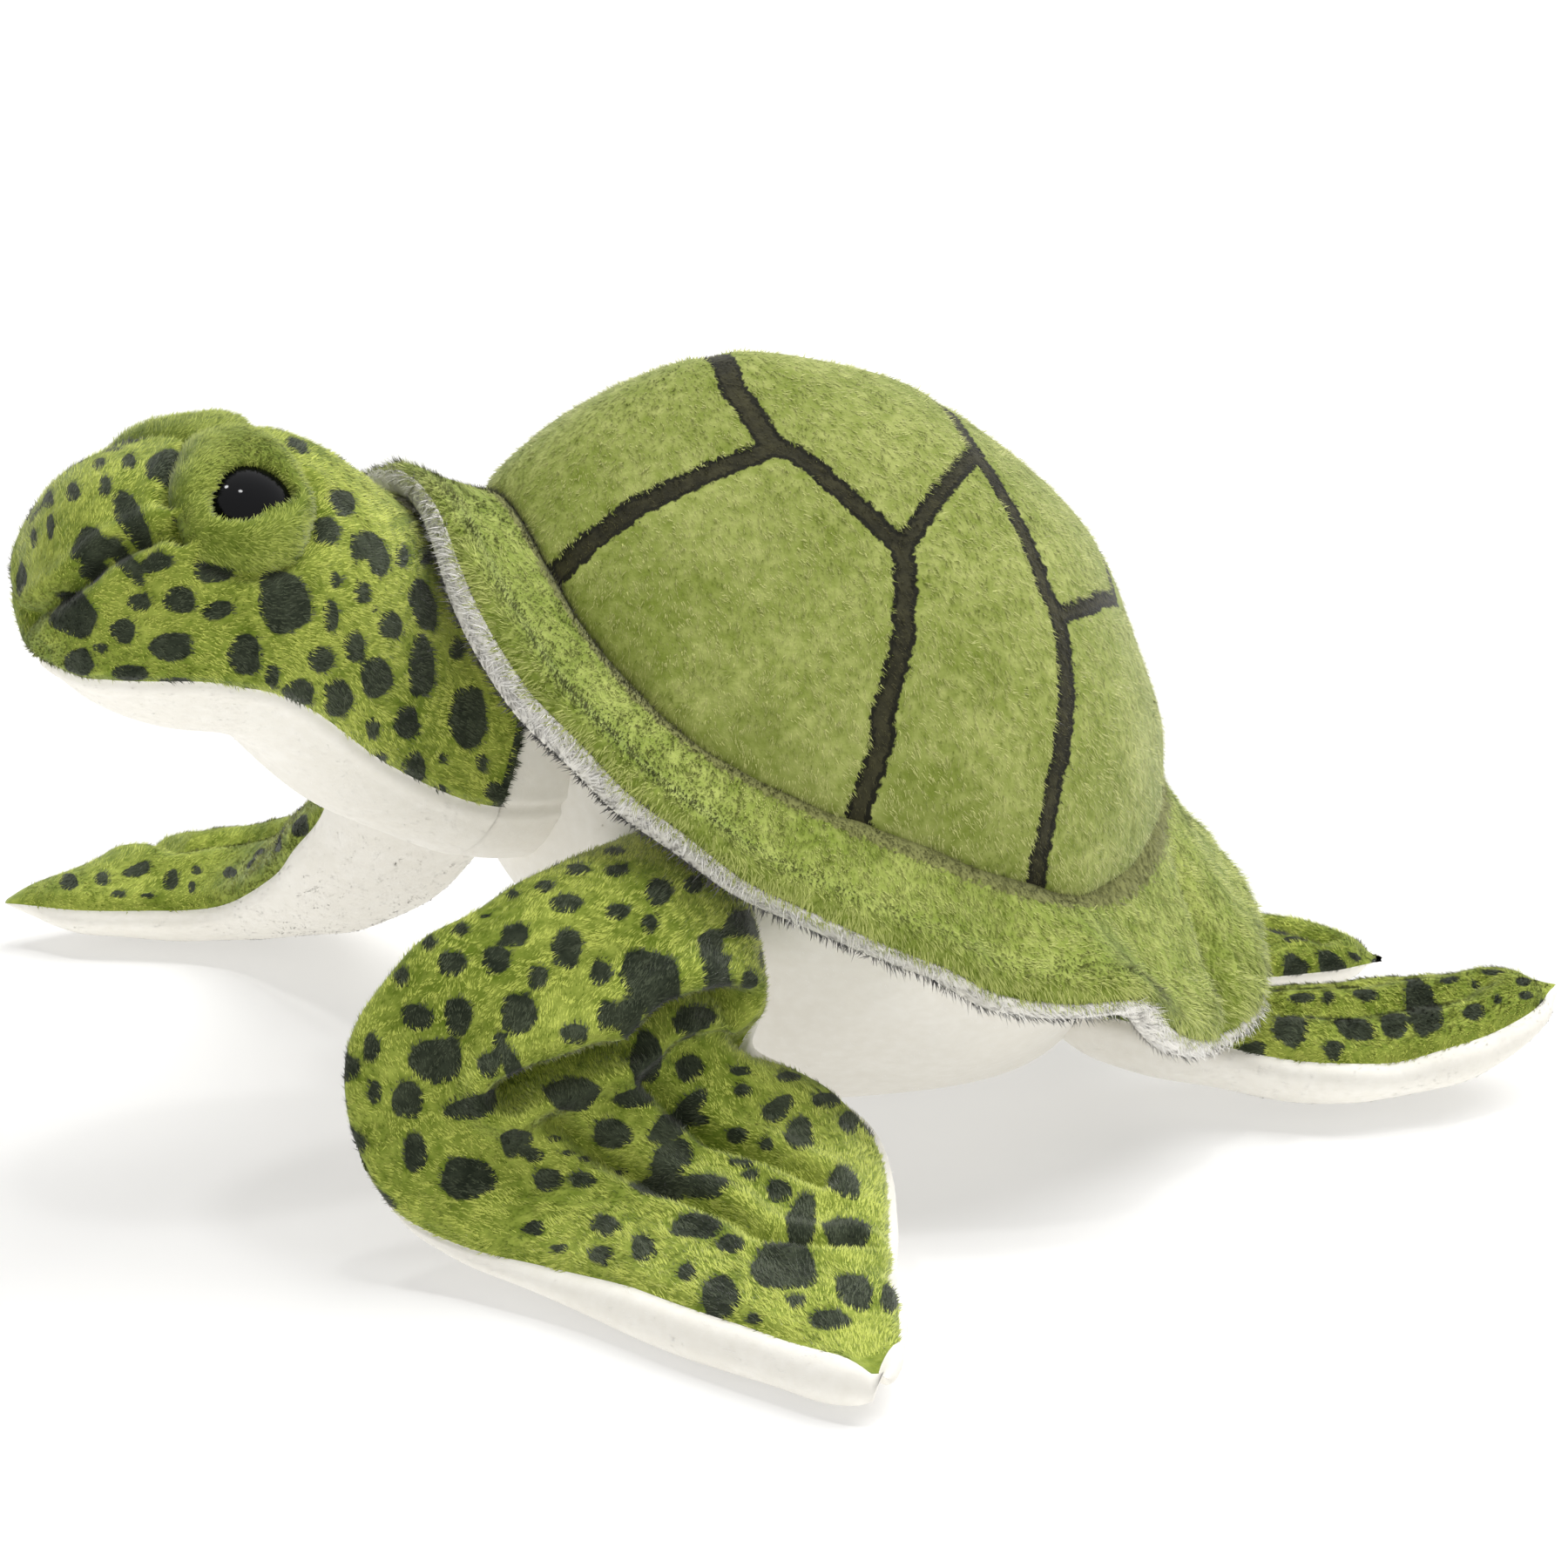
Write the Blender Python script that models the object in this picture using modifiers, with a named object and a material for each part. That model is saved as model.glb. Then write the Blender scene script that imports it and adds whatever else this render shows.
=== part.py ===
# Stuffed plush sea turtle: sewn pile-cloth panels over loose filling.
# Metres, +Z up. The turtle looks along -X and its left side is at -Y.
# The origin is on the flat of the belly, where the toy rests.
import math

import bmesh
import bpy
from mathutils import Matrix, Vector

# Cloth, seams and running gaps
cloth = 0.0014
seam_gap = 0.0003
fill_gap = 0.0005
swing_gap = 0.0008
rest_flat = 0.0005
cut_overrun = 0.010
tip_fill_share = 0.35

# Shell: a dome on a tilted, saddle-shaped seam, with a flared rim round it
shell_back_shift = -0.0057
shell_seam_height = 0.0663
shell_tilt = math.radians(24.9)
shell_half_length = 0.0713
shell_half_width = 0.0680
shell_height = 0.0785
shell_crown_power = 1.17
shell_rear_fullness_share = 0.30
shell_saddle = 0.0287
shell_saddle_power = 4
dome_angles = [math.radians(angle) for angle in (0, 20, 42, 66)]
shell_sides = 14

rim_flare_length = 0.0202
rim_flare_width = 0.0120
rim_rear_fullness_share = 0.35
rim_set_back = 0.0054
rim_side_drop = 0.0171
rim_end_lift = 0.0381
rim_front_lift = 0.0125
rim_lift_power = 5
rim_collar_lift = 0.0366
rim_collar_power = 3.6
rim_front_flare = 0.0150
rim_front_flare_power = 1.1
rim_sheet = 0.0020
rim_bead = 0.0055

# Belly: a bowl of cloth from the seam down to the flat that it rests on
belly_drop = 0.0034
belly_inset = 0.0005
belly_flat_back = 0.016
belly_flat_half_length = 0.034
belly_flat_half_width = 0.012
belly_flat_level_share = 0.75
belly_side_power = 1.2
belly_fall_power = 1.35
belly_angles = [math.radians(angle) for angle in (0, 26, 52, 90)]

# Head and neck, lofted from the ball at the root of the neck to the nose
neck_set_in = 0.0193
neck_height = 0.081
neck_ball = 0.029
neck_wad = 0.013
head_length = 0.0925
head_height = 0.057
head_width = 0.066
cover_spans = 8
throat_spans = 3
throat_half_angle = math.radians(55)
# Each row: forward, rise, half height, half width, as shares of the head's sizes
head_station_shares = [
    (0.173, 0.015, 0.460, 0.400),
    (0.314, 0.150, 0.480, 0.400),
    (0.454, 0.375, 0.515, 0.474),
    (0.605, 0.505, 0.495, 0.500),
    (0.757, 0.535, 0.462, 0.450),
    (0.886, 0.465, 0.375, 0.350),
    (0.968, 0.400, 0.230, 0.230),
]
nose_shares = (1.0, 0.365)

# Eyes: a domed plastic eye on a raised patch, held by a lock washer inside
eye_shares = (0.650, 0.520, 0.487, 0.486)
eye_turn = math.radians(43)
eye_forward_slope_share = 0.05
eye_radius = 0.0080
eye_dome = 0.0040
eye_flange = 0.0008
eye_lift = 0.0009
eye_shank_radius = 0.0018
eye_shank_length = 0.0108
eye_steps = 16
washer_radius = 0.0055
washer_thickness = 0.0012
washer_depth = 0.0046
patch_turn = math.radians(48)
patch_half_length = 0.0125
patch_half_height = 0.0145
patch_half_depth = 0.0040
patch_gap = 0.0007

# Front flippers, lofted from a ball at the shoulder to the tip
shoulder_set_back = 0.0293
shoulder_set_in = 0.026
shoulder_height = 0.056
shoulder_ball = 0.0145
shoulder_wad = 0.0075
front_reach = 0.100
# Each row: the leading edge and the trailing edge (forward and out from the shoulder,
# height over the floor), then the half thickness, all as shares of the reach
front_station_shares = {
    "left": [
        (0.22, 0.09, 0.69, -0.10, 0.17, 0.44, 0.110),
        (0.55, 0.12, 0.61, -0.10, 0.21, 0.34, 0.125),
        (0.72, 0.10, 0.37, -0.17, 0.25, 0.26, 0.125),
        (0.66, 0.18, 0.09, -0.26, 0.34, 0.20, 0.115),
        (0.46, 0.42, 0.050, -0.24, 0.46, 0.140, 0.110),
        (0.35, 0.66, 0.050, -0.13, 0.66, 0.095, 0.085),
        (0.25, 0.88, 0.055, -0.07, 0.84, 0.070, 0.065),
    ],
    "right": [
        (0.22, 0.09, 0.66, -0.08, 0.11, 0.46, 0.110),
        (0.30, 0.26, 0.40, -0.08, 0.34, 0.30, 0.130),
        (0.31, 0.50, 0.21, -0.14, 0.62, 0.20, 0.130),
        (0.35, 0.70, 0.100, -0.02, 0.98, 0.115, 0.115),
        (0.47, 0.78, 0.090, 0.16, 1.08, 0.110, 0.105),
        (0.61, 0.86, 0.085, 0.38, 1.10, 0.100, 0.090),
    ],
}
front_tip_shares = {"left": (0.10, 1.06, 0.06), "right": (0.70, 1.02, 0.09)}

# Rear flippers, lofted from a ball at the hip to the tip
hip_set_forward = 0.0193
hip_set_in = 0.036
hip_height = 0.017
hip_ball = 0.0105
hip_wad = 0.0055
rear_reach = 0.084
rear_turns = {"left": 0.0, "right": math.radians(40)}
# Rows as for the front flippers, with back from the hip in place of forward
rear_station_shares = {
    "left": [
        (0.14, 0.29, 0.145, 0.14, -0.08, 0.170, 0.105),
        (0.34, 0.46, 0.115, 0.34, -0.05, 0.150, 0.110),
        (0.56, 0.50, 0.110, 0.56, 0.00, 0.145, 0.105),
        (0.78, 0.48, 0.135, 0.75, 0.08, 0.165, 0.095),
        (0.93, 0.43, 0.180, 0.90, 0.17, 0.195, 0.070),
    ],
    "right": [
        (0.14, 0.18, 0.125, 0.16, -0.02, 0.135, 0.095),
        (0.34, 0.36, 0.090, 0.36, 0.00, 0.105, 0.095),
        (0.56, 0.48, 0.075, 0.56, 0.00, 0.085, 0.085),
        (0.78, 0.48, 0.070, 0.75, 0.08, 0.080, 0.075),
        (0.93, 0.43, 0.070, 0.90, 0.17, 0.075, 0.060),
    ],
}
rear_tip_shares = {"left": (1.0, 0.32, 0.215), "right": (1.0, 0.32, 0.070)}
panel_spans = 3

parts = bpy.data.collections.new("plush_turtle")
cutters = bpy.data.collections.new("cutters")


def clear_scene():
    """Remove the objects that the file opened with."""
    for thing in list(bpy.data.objects):
        bpy.data.objects.remove(thing, do_unlink=True)
    for collection in (parts, cutters):
        bpy.context.scene.collection.children.link(collection)


def finish(name, colour, roughness, sheen=0.0):
    """A material with the piece's own colour."""
    material = bpy.data.materials.new(name)
    material.use_nodes = True
    shader = material.node_tree.nodes["Principled BSDF"]
    shader.inputs["Base Color"].default_value = (*colour, 1.0)
    shader.inputs["Roughness"].default_value = roughness
    shader.inputs["Metallic"].default_value = 0.0
    shader.inputs["Sheen Weight"].default_value = sheen
    return material


def turn_outward(bm, inside):
    """Point every face away from a place inside the piece."""
    bm.normal_update()
    facing = sum(face.normal.dot(face.calc_center_median() - inside) for face in bm.faces)
    if facing < 0:
        bmesh.ops.reverse_faces(bm, faces=list(bm.faces))


def place(name, bm, origin, material, collection=parts):
    """Make an object from a mesh in world places, with its origin where it turns."""
    bm.transform(Matrix.Translation(-origin))
    mesh = bpy.data.meshes.new(name)
    bm.to_mesh(mesh)
    bm.free()
    mesh.shade_smooth()
    thing = bpy.data.objects.new(name, mesh)
    thing.location = origin
    if material:
        mesh.materials.append(material)
    collection.objects.link(thing)
    return thing


def skin(rings, closed, first=None, last=None, caps=False):
    """Skin rings of points with quads, drawn to a pole or capped at the ends."""
    bm = bmesh.new()
    rows = [[bm.verts.new(point) for point in ring] for ring in rings]
    count = len(rows[0])
    spans = range(count if closed else count - 1)
    for low, high in zip(rows, rows[1:]):
        for i in spans:
            j = (i + 1) % count
            bm.faces.new((low[i], low[j], high[j], high[i]))
    for pole, row in ((first, rows[0]), (last, rows[-1])):
        if pole is not None:
            tip = bm.verts.new(pole)
            for i in spans:
                bm.faces.new((row[i], row[(i + 1) % count], tip))
        elif caps:
            bm.faces.new(row)
    bmesh.ops.recalc_face_normals(bm, faces=list(bm.faces))
    middle = sum((vert.co for vert in bm.verts), Vector()) / len(bm.verts)
    turn_outward(bm, middle)
    return bm


def smooth(thing):
    """Round a coarse cage off."""
    subdivision = thing.modifiers.new("round", "SUBSURF")
    subdivision.levels = 1
    subdivision.render_levels = 1


def thicken(thing, thickness):
    """Give a sheet its thickness, outward from the face that lies on the filling."""
    solid = thing.modifiers.new("cloth", "SOLIDIFY")
    solid.thickness = thickness
    solid.offset = 1.0


def cut(thing, cutter):
    """Take a cutter's shape out of a piece."""
    difference = thing.modifiers.new("cut " + cutter.name, "BOOLEAN")
    difference.operation = "DIFFERENCE"
    difference.object = cutter


def as_cutter(thing):
    """Keep a shape out of the finished parts."""
    thing.hide_render = True
    thing.display_type = "WIRE"
    return thing


def ball(name, centre, radius, material=None, collection=parts, segments=24, rings=12):
    """A sphere with its origin at its centre."""
    bm = bmesh.new()
    bmesh.ops.create_uvsphere(bm, u_segments=segments, v_segments=rings, radius=radius)
    bm.transform(Matrix.Translation(centre))
    return place(name, bm, centre, material, collection)


def ring_share(step):
    """How much larger a cage ring is than the round that it smooths to."""
    return 1.0 / math.cos(step / 2.0)


# The shell's own frame: back along its length, across to the left, and out of its top
shell_centre = Vector((shell_back_shift, 0.0, shell_seam_height))
shell_back = Vector((math.cos(shell_tilt), 0.0, -math.sin(shell_tilt)))
shell_left = Vector((0.0, -1.0, 0.0))
shell_out = Vector((math.sin(shell_tilt), 0.0, math.cos(shell_tilt)))


def shell_ring_angles():
    return [2.0 * math.pi * i / shell_sides for i in range(shell_sides)]


def dome_point(turn, rise, inset=0.0, lift=0.0):
    """A place on the dome: turn goes round it from the back, rise from seam to top."""
    grow = ring_share(2.0 * math.pi / shell_sides)
    length = (shell_half_length - inset) * math.cos(turn) * grow
    fullness = 1.0 + shell_rear_fullness_share * math.cos(turn)
    width = (shell_half_width - inset) * fullness * math.sin(turn) * grow
    saddle = shell_saddle * math.cos(turn) ** shell_saddle_power * (1.0 - math.sin(rise))
    height = (shell_height - inset) * math.sin(rise) ** shell_crown_power + saddle + lift
    reach = max(0.0, math.cos(rise)) ** shell_crown_power
    return shell_centre + shell_back * length * reach + shell_left * width * reach + shell_out * height


def rim_edge_point(turn):
    """A place on the outer edge of the rim."""
    grow = ring_share(2.0 * math.pi / shell_sides)
    half_length = shell_half_length + rim_flare_length
    half_width = shell_half_width + rim_flare_width
    length = rim_set_back + half_length * math.cos(turn) * grow
    fullness = 1.0 + rim_rear_fullness_share * math.cos(turn)
    width = half_width * fullness * math.sin(turn) * grow
    if math.cos(turn) < 0.0:
        lift = rim_collar_lift * abs(math.cos(turn)) ** rim_collar_power
    else:
        lift = rim_end_lift * math.cos(turn) ** rim_lift_power
    height = lift - rim_front_lift * math.cos(turn) - rim_side_drop
    edge = shell_centre + shell_back * length + shell_left * width + shell_out * height
    outward = (edge - dome_point(turn, 0.0)).normalized()
    flare = abs(math.sin(turn)) ** rim_front_flare_power * max(0.0, -math.cos(turn))
    return edge + outward * rim_front_flare * flare


def rim_section(turn, outline):
    """Points of the rim's section: along the sheet as a share, and above it."""
    seam = dome_point(turn, 0.0)
    edge = rim_edge_point(turn)
    step = math.pi / 180.0
    along = dome_point(turn + step, 0.0) - dome_point(turn - step, 0.0)
    above = along.cross(edge - seam).normalized()
    if above.dot(shell_out) < 0.0:
        above.negate()
    return [seam.lerp(edge, share) + above * height for share, height in outline]


def belly_flat_point(turn, inset=0.0, spread=1.0):
    """A place on the belly's flat, out to a share of its edge."""
    length = (belly_flat_half_length - inset) * math.cos(turn) * spread
    width = (belly_flat_half_width - inset) * math.sin(turn) * spread
    return Vector((belly_flat_back + length, -width, inset - rest_flat))


def belly_point(turn, fall, inset=0.0):
    """A place on the belly's bowl: fall goes from the seam down to the flat."""
    seam = dome_point(turn, 0.0, inset + belly_inset, -belly_drop)
    flat = belly_flat_point(turn, inset)
    point = flat.lerp(seam, max(0.0, math.cos(fall)) ** belly_side_power)
    point.z = seam.z + (flat.z - seam.z) * math.sin(fall) ** belly_fall_power
    return point


def limb_rings(stations, top, turns, inset):
    """Rings of a limb along its middle line, with their first half on the top side."""
    rings = []
    for middle, across, half_width, half_thickness, ahead in stations:
        normal = across.cross(ahead).normalized()
        if normal.dot(top) < 0.0:
            normal.negate()
        ring = []
        for turn, grow in turns:
            sideways = across * (half_width - inset) * math.cos(turn) * grow
            upward = normal * (half_thickness - inset) * math.sin(turn) * grow
            ring.append(middle + sideways + upward)
        rings.append(ring)
    return rings


def panel_turns(start, end, count, gap_angle):
    """Turns across one panel, grown between its seams and true along them."""
    low = start + gap_angle
    high = end - gap_angle
    step = (high - low) / count
    grown = ring_share(step)
    return [(low + step * i, grown if 0 < i < count else 1.0) for i in range(count + 1)]


def with_headings(rows):
    """Add the direction of the middle line to each station."""
    middles = [row[0] for row in rows]
    stations = []
    for i, row in enumerate(rows):
        before = middles[max(i - 1, 0)]
        after = middles[min(i + 1, len(rows) - 1)]
        stations.append((*row, (after - before).normalized()))
    return stations


def flipper_stations(root, ball_radius, ahead_sign, reach, rows, tip, side, turn):
    """Stations of a flipper from its ball to its tip, turned about its root."""
    spin = Matrix.Rotation(turn, 3, "Z")

    def from_root(forward, out, height):
        arm = Vector((forward * ahead_sign, out * side, height)) * reach
        arm.z -= root.z
        return root + spin @ arm

    sections = []
    for row in rows:
        leading = from_root(*row[0:3])
        trailing = from_root(*row[3:6])
        across = leading - trailing
        sections.append((leading.lerp(trailing, 0.5), across.normalized(), across.length / 2.0,
                         row[6] * reach))
    first = (sections[0][0] - root).normalized()
    level = (sections[0][1] - first * first.dot(sections[0][1])).normalized()
    sections.insert(0, (root.copy(), level, ball_radius, ball_radius))
    stations = with_headings(sections)
    stations[0] = (*sections[0], first)
    return [ball_back(stations[0])] + stations, from_root(*tip)


def ball_back(station):
    """The open end of a limb's cloth, on the far side of its ball."""
    middle, across, radius, _, ahead = station
    half = math.cos(math.radians(45)) * radius
    return (middle - ahead * half, across, half, half, ahead)


def flipper(kind, side_name, root, wad_radius, stations, tip, top, materials):
    """Top and underside panels, filling and root wad of one flipper."""
    seam_turn = seam_gap / stations[3][3]
    halves = {"top": (0.0, math.pi), "underside": (math.pi, 2.0 * math.pi)}
    for half_name, (start, end) in halves.items():
        turns = panel_turns(start, end, panel_spans, seam_turn)
        bm = skin(limb_rings(stations, top, turns, cloth), False, last=tip)
        turn_outward(bm, stations[3][0])
        panel = place(f"{kind}_{half_name}_{side_name}", bm, root, materials[half_name])
        smooth(panel)
        thicken(panel, cloth)
        cut(panel, floor)
    turns = panel_turns(0.0, math.pi, panel_spans, 0.0)[:-1]
    turns += panel_turns(math.pi, 2.0 * math.pi, panel_spans, 0.0)[:-1]
    rings = limb_rings(stations[1:], top, turns, cloth + fill_gap)
    bm = skin(rings, True, last=tip.lerp(stations[-1][0], tip_fill_share), caps=True)
    filling = place(f"{kind}_stuffing_{side_name}", bm, root, materials["stuffing"])
    smooth(filling)
    cut(filling, filling_floor)
    seat_name = f"{kind}_wad_seat_{side_name}"
    cut(filling, as_cutter(ball(seat_name, root, wad_radius + fill_gap, None, cutters, 16, 8)))
    ball(f"{kind}_wad_{side_name}", root, wad_radius, materials["stuffing"], parts, 12, 8)


def turned(name, outline, steps, place_matrix, material, collection):
    """A round piece, turned from an outline of radius and height, top to bottom."""
    bm = bmesh.new()
    verts = [bm.verts.new((radius, 0.0, height)) for radius, height in outline]
    for low, high in zip(verts, verts[1:]):
        bm.edges.new((low, high))
    mesh = bpy.data.meshes.new(name)
    bm.to_mesh(mesh)
    bm.free()
    thing = bpy.data.objects.new(name, mesh)
    thing.matrix_world = place_matrix
    if material:
        mesh.materials.append(material)
    collection.objects.link(thing)
    screw = thing.modifiers.new("turned", "SCREW")
    screw.steps = steps
    screw.render_steps = steps
    screw.use_merge_vertices = True
    screw.merge_threshold = seam_gap / 10.0
    screw.use_smooth_shade = True
    return thing


clear_scene()

shell_green = finish("shell green pile", (0.335, 0.430, 0.125), 0.9, 0.3)
rim_green = finish("rim green pile", (0.270, 0.380, 0.080), 0.9, 0.3)
skin_green = finish("spotted green pile", (0.255, 0.350, 0.045), 0.9, 0.3)
lid_green = finish("plain green pile", (0.275, 0.370, 0.055), 0.9, 0.3)
cream = finish("cream pile", (0.870, 0.840, 0.770), 0.9, 0.3)
fibre = finish("polyester filling", (0.900, 0.900, 0.880), 1.0)
eye_black = finish("black eye plastic", (0.006, 0.006, 0.008), 0.06)
washer_white = finish("washer plastic", (0.800, 0.800, 0.780), 0.4)

# The sockets that the neck and the flippers turn in, and the floor
neck_root = Vector((neck_set_in - shell_half_length, 0.0, neck_height))
floor_span = 5.0 * shell_half_length


def block_below(name, height):
    """A block that reaches up to a height over the floor."""
    bm = bmesh.new()
    bmesh.ops.create_cube(bm, size=1.0)
    bm.transform(Matrix.Diagonal((floor_span, floor_span, cut_overrun, 1.0)))
    bm.transform(Matrix.Translation((0.0, 0.0, height - cut_overrun / 2.0)))
    return as_cutter(place(name, bm, Vector(), None, cutters))


floor = block_below("floor", 0.0)
filling_floor = block_below("filling_floor", cloth + fill_gap)
sides = {"left": -1.0, "right": 1.0}
shoulders = {name: Vector((shoulder_set_back - shell_half_length,
                           side * (shell_half_width - shoulder_set_in), shoulder_height))
             for name, side in sides.items()}
hips = {name: Vector((shell_half_length - hip_set_forward,
                      side * (shell_half_width - hip_set_in), hip_height))
        for name, side in sides.items()}
sockets = [as_cutter(ball("neck_socket", neck_root, neck_ball + swing_gap, None, cutters, 24, 12))]
for name in sides:
    for joint, centre, radius in (("shoulder", shoulders[name], shoulder_ball),
                                  ("hip", hips[name], hip_ball)):
        socket = ball(f"{joint}_socket_{name}", centre, radius + swing_gap, None, cutters, 16, 8)
        sockets.append(as_cutter(socket))

# Dome of the shell
turns = shell_ring_angles()
dome_lift = rim_sheet + seam_gap
dome_rings = [[dome_point(turn, rise, cloth, dome_lift * math.cos(rise)) for turn in turns]
              for rise in dome_angles]
dome_top = dome_point(0.0, math.pi / 2.0, cloth)
dome_bm = skin(dome_rings, True, last=dome_top)
turn_outward(dome_bm, shell_centre)
dome = place("carapace_dome", dome_bm, Vector(), shell_green)
smooth(dome)
thicken(dome, cloth)

# Rim: a green top with a rolled bead at its edge, and a cream underside
rim_top_outline = [
    (0.0, 0.0),
    (0.0, rim_sheet),
    (0.60, rim_sheet),
    (0.84, rim_bead),
    (1.02, rim_bead / 2.0),
    (0.98, 0.0),
]
rim_rings = [rim_section(turn, rim_top_outline) for turn in turns]
rim_bm = skin([list(points) for points in zip(*rim_rings)] + [[ring[0] for ring in rim_rings]], True)
bmesh.ops.remove_doubles(rim_bm, verts=list(rim_bm.verts), dist=seam_gap / 3.0)
bmesh.ops.recalc_face_normals(rim_bm, faces=list(rim_bm.faces))
rim_top = place("carapace_rim_top", rim_bm, Vector(), rim_green)
smooth(rim_top)

underside_height = -seam_gap
underside_outline = [(0.0, underside_height), (0.45, underside_height), (0.96, underside_height)]
underside_rings = [rim_section(turn, underside_outline) for turn in turns]
underside_bm = skin([list(points) for points in zip(*underside_rings)], True)
underside_bm.normal_update()
if sum(face.normal.dot(shell_out) for face in underside_bm.faces) > 0.0:
    bmesh.ops.reverse_faces(underside_bm, faces=list(underside_bm.faces))
rim_underside = place("carapace_rim_underside", underside_bm, Vector(), cream)
smooth(rim_underside)
thicken(rim_underside, cloth)

# Belly panel, open where the neck and the flippers go in, flat where it rests
belly_rings = [[belly_point(turn, fall, cloth) for turn in turns] for fall in belly_angles]
belly_rings.append([belly_flat_point(turn, cloth, belly_flat_level_share) for turn in turns])
belly_bm = skin(belly_rings, True)
belly_bm.verts.ensure_lookup_table()
bottom = list(belly_bm.verts)[-shell_sides:]
belly_bm.faces.new(bottom)
bmesh.ops.recalc_face_normals(belly_bm, faces=list(belly_bm.faces))
turn_outward(belly_bm, shell_centre)
belly = place("belly_panel", belly_bm, Vector(), cream)
smooth(belly)
thicken(belly, cloth)
cut(belly, floor)

# Filling of the body, in one piece from the belly to the top of the dome
inset = cloth + fill_gap
fill_rings = [[dome_point(turn, rise, inset) for turn in turns] for rise in reversed(dome_angles)]
fill_rings += [[belly_point(turn, fall, inset + fill_gap) for turn in turns] for fall in belly_angles]
fill_top = dome_point(0.0, math.pi / 2.0, inset)
fill_bm = skin(fill_rings, True, first=fill_top, caps=True)
body_fill = place("body_stuffing", fill_bm, Vector(), fibre)
smooth(body_fill)
for socket in sockets:
    cut(belly, socket)
    cut(body_fill, socket)

# Head and neck: spotted cloth over the top and sides, cream under the chin and throat
head_across = Vector((0.0, -1.0, 0.0))
up = Vector((0.0, 0.0, 1.0))
head_rows = [(neck_root.copy(), head_across, neck_ball, neck_ball)]
for forward, rise, half_height, half_width in head_station_shares:
    middle = neck_root + Vector((-forward * head_length, 0.0, rise * head_height))
    head_rows.append((middle, head_across, half_width * head_width, half_height * head_height))
head_stations = with_headings(head_rows)
nose = neck_root + Vector((-nose_shares[0] * head_length, 0.0, nose_shares[1] * head_height))
head_skin_stations = [ball_back(head_stations[0])] + head_stations
throat_start = 1.5 * math.pi - throat_half_angle
throat_end = 1.5 * math.pi + throat_half_angle
seam_turn = seam_gap / neck_ball
head_spans = {
    "head_cover": (throat_end - 2.0 * math.pi, throat_start, cover_spans, skin_green),
    "throat_panel": (throat_start, throat_end, throat_spans, cream),
}
head_turns = []
head_panels = {}
for name, (start, end, spans, material) in head_spans.items():
    turns_across = panel_turns(start, end, spans, seam_turn)
    bm = skin(limb_rings(head_skin_stations, up, turns_across, cloth), False, last=nose)
    turn_outward(bm, head_stations[3][0])
    head_panels[name] = place(name, bm, neck_root, material)
    smooth(head_panels[name])
    thicken(head_panels[name], cloth)
    head_turns += panel_turns(start, end, spans, 0.0)[:-1]

rings = limb_rings(head_stations, up, head_turns, inset)
bm = skin(rings, True, last=nose.lerp(head_stations[-1][0], 2.0 * tip_fill_share), caps=True)
head_fill = place("head_stuffing", bm, neck_root, fibre)
smooth(head_fill)
cut(head_fill, as_cutter(ball("neck_wad_seat", neck_root, neck_wad + fill_gap, None, cutters, 16, 8)))
ball("neck_wad", neck_root, neck_wad, fibre, parts, 16, 8)

# Eye patches, eyes and their lock washers
rings = limb_rings(head_stations, up, head_turns, -patch_gap)
bm = skin(rings, True, last=nose + Vector((-patch_gap, 0.0, 0.0)), caps=True)
head_form = as_cutter(place("head_form", bm, neck_root, None, cutters))
smooth(head_form)
forward, rise, half_height, half_width = eye_shares
eye_middle = neck_root + Vector((-forward * head_length, 0.0, rise * head_height))
eye_half_width = half_width * head_width
eye_half_height = half_height * head_height
seat = eye_lift + seam_gap
washer_bottom = -washer_depth - washer_thickness
shank_end = seat - eye_shank_length
shank_bore = eye_shank_radius + seam_gap
washer_seat = washer_radius + fill_gap
dome_turns = [math.radians(angle) for angle in (90, 72, 54, 36, 18, 0)]


def on_head(turn, side):
    """The frame of a place beside the brow, with +Z out of the head."""
    outward = Vector((0.0, side * eye_half_width * math.cos(turn), eye_half_height * math.sin(turn)))
    normal = Vector((-eye_forward_slope_share, side * math.cos(turn) * eye_half_height / eye_half_width,
                     math.sin(turn))).normalized()
    return Matrix.Translation(eye_middle + outward) @ normal.to_track_quat("Z", "Y").to_matrix().to_4x4()


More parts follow.
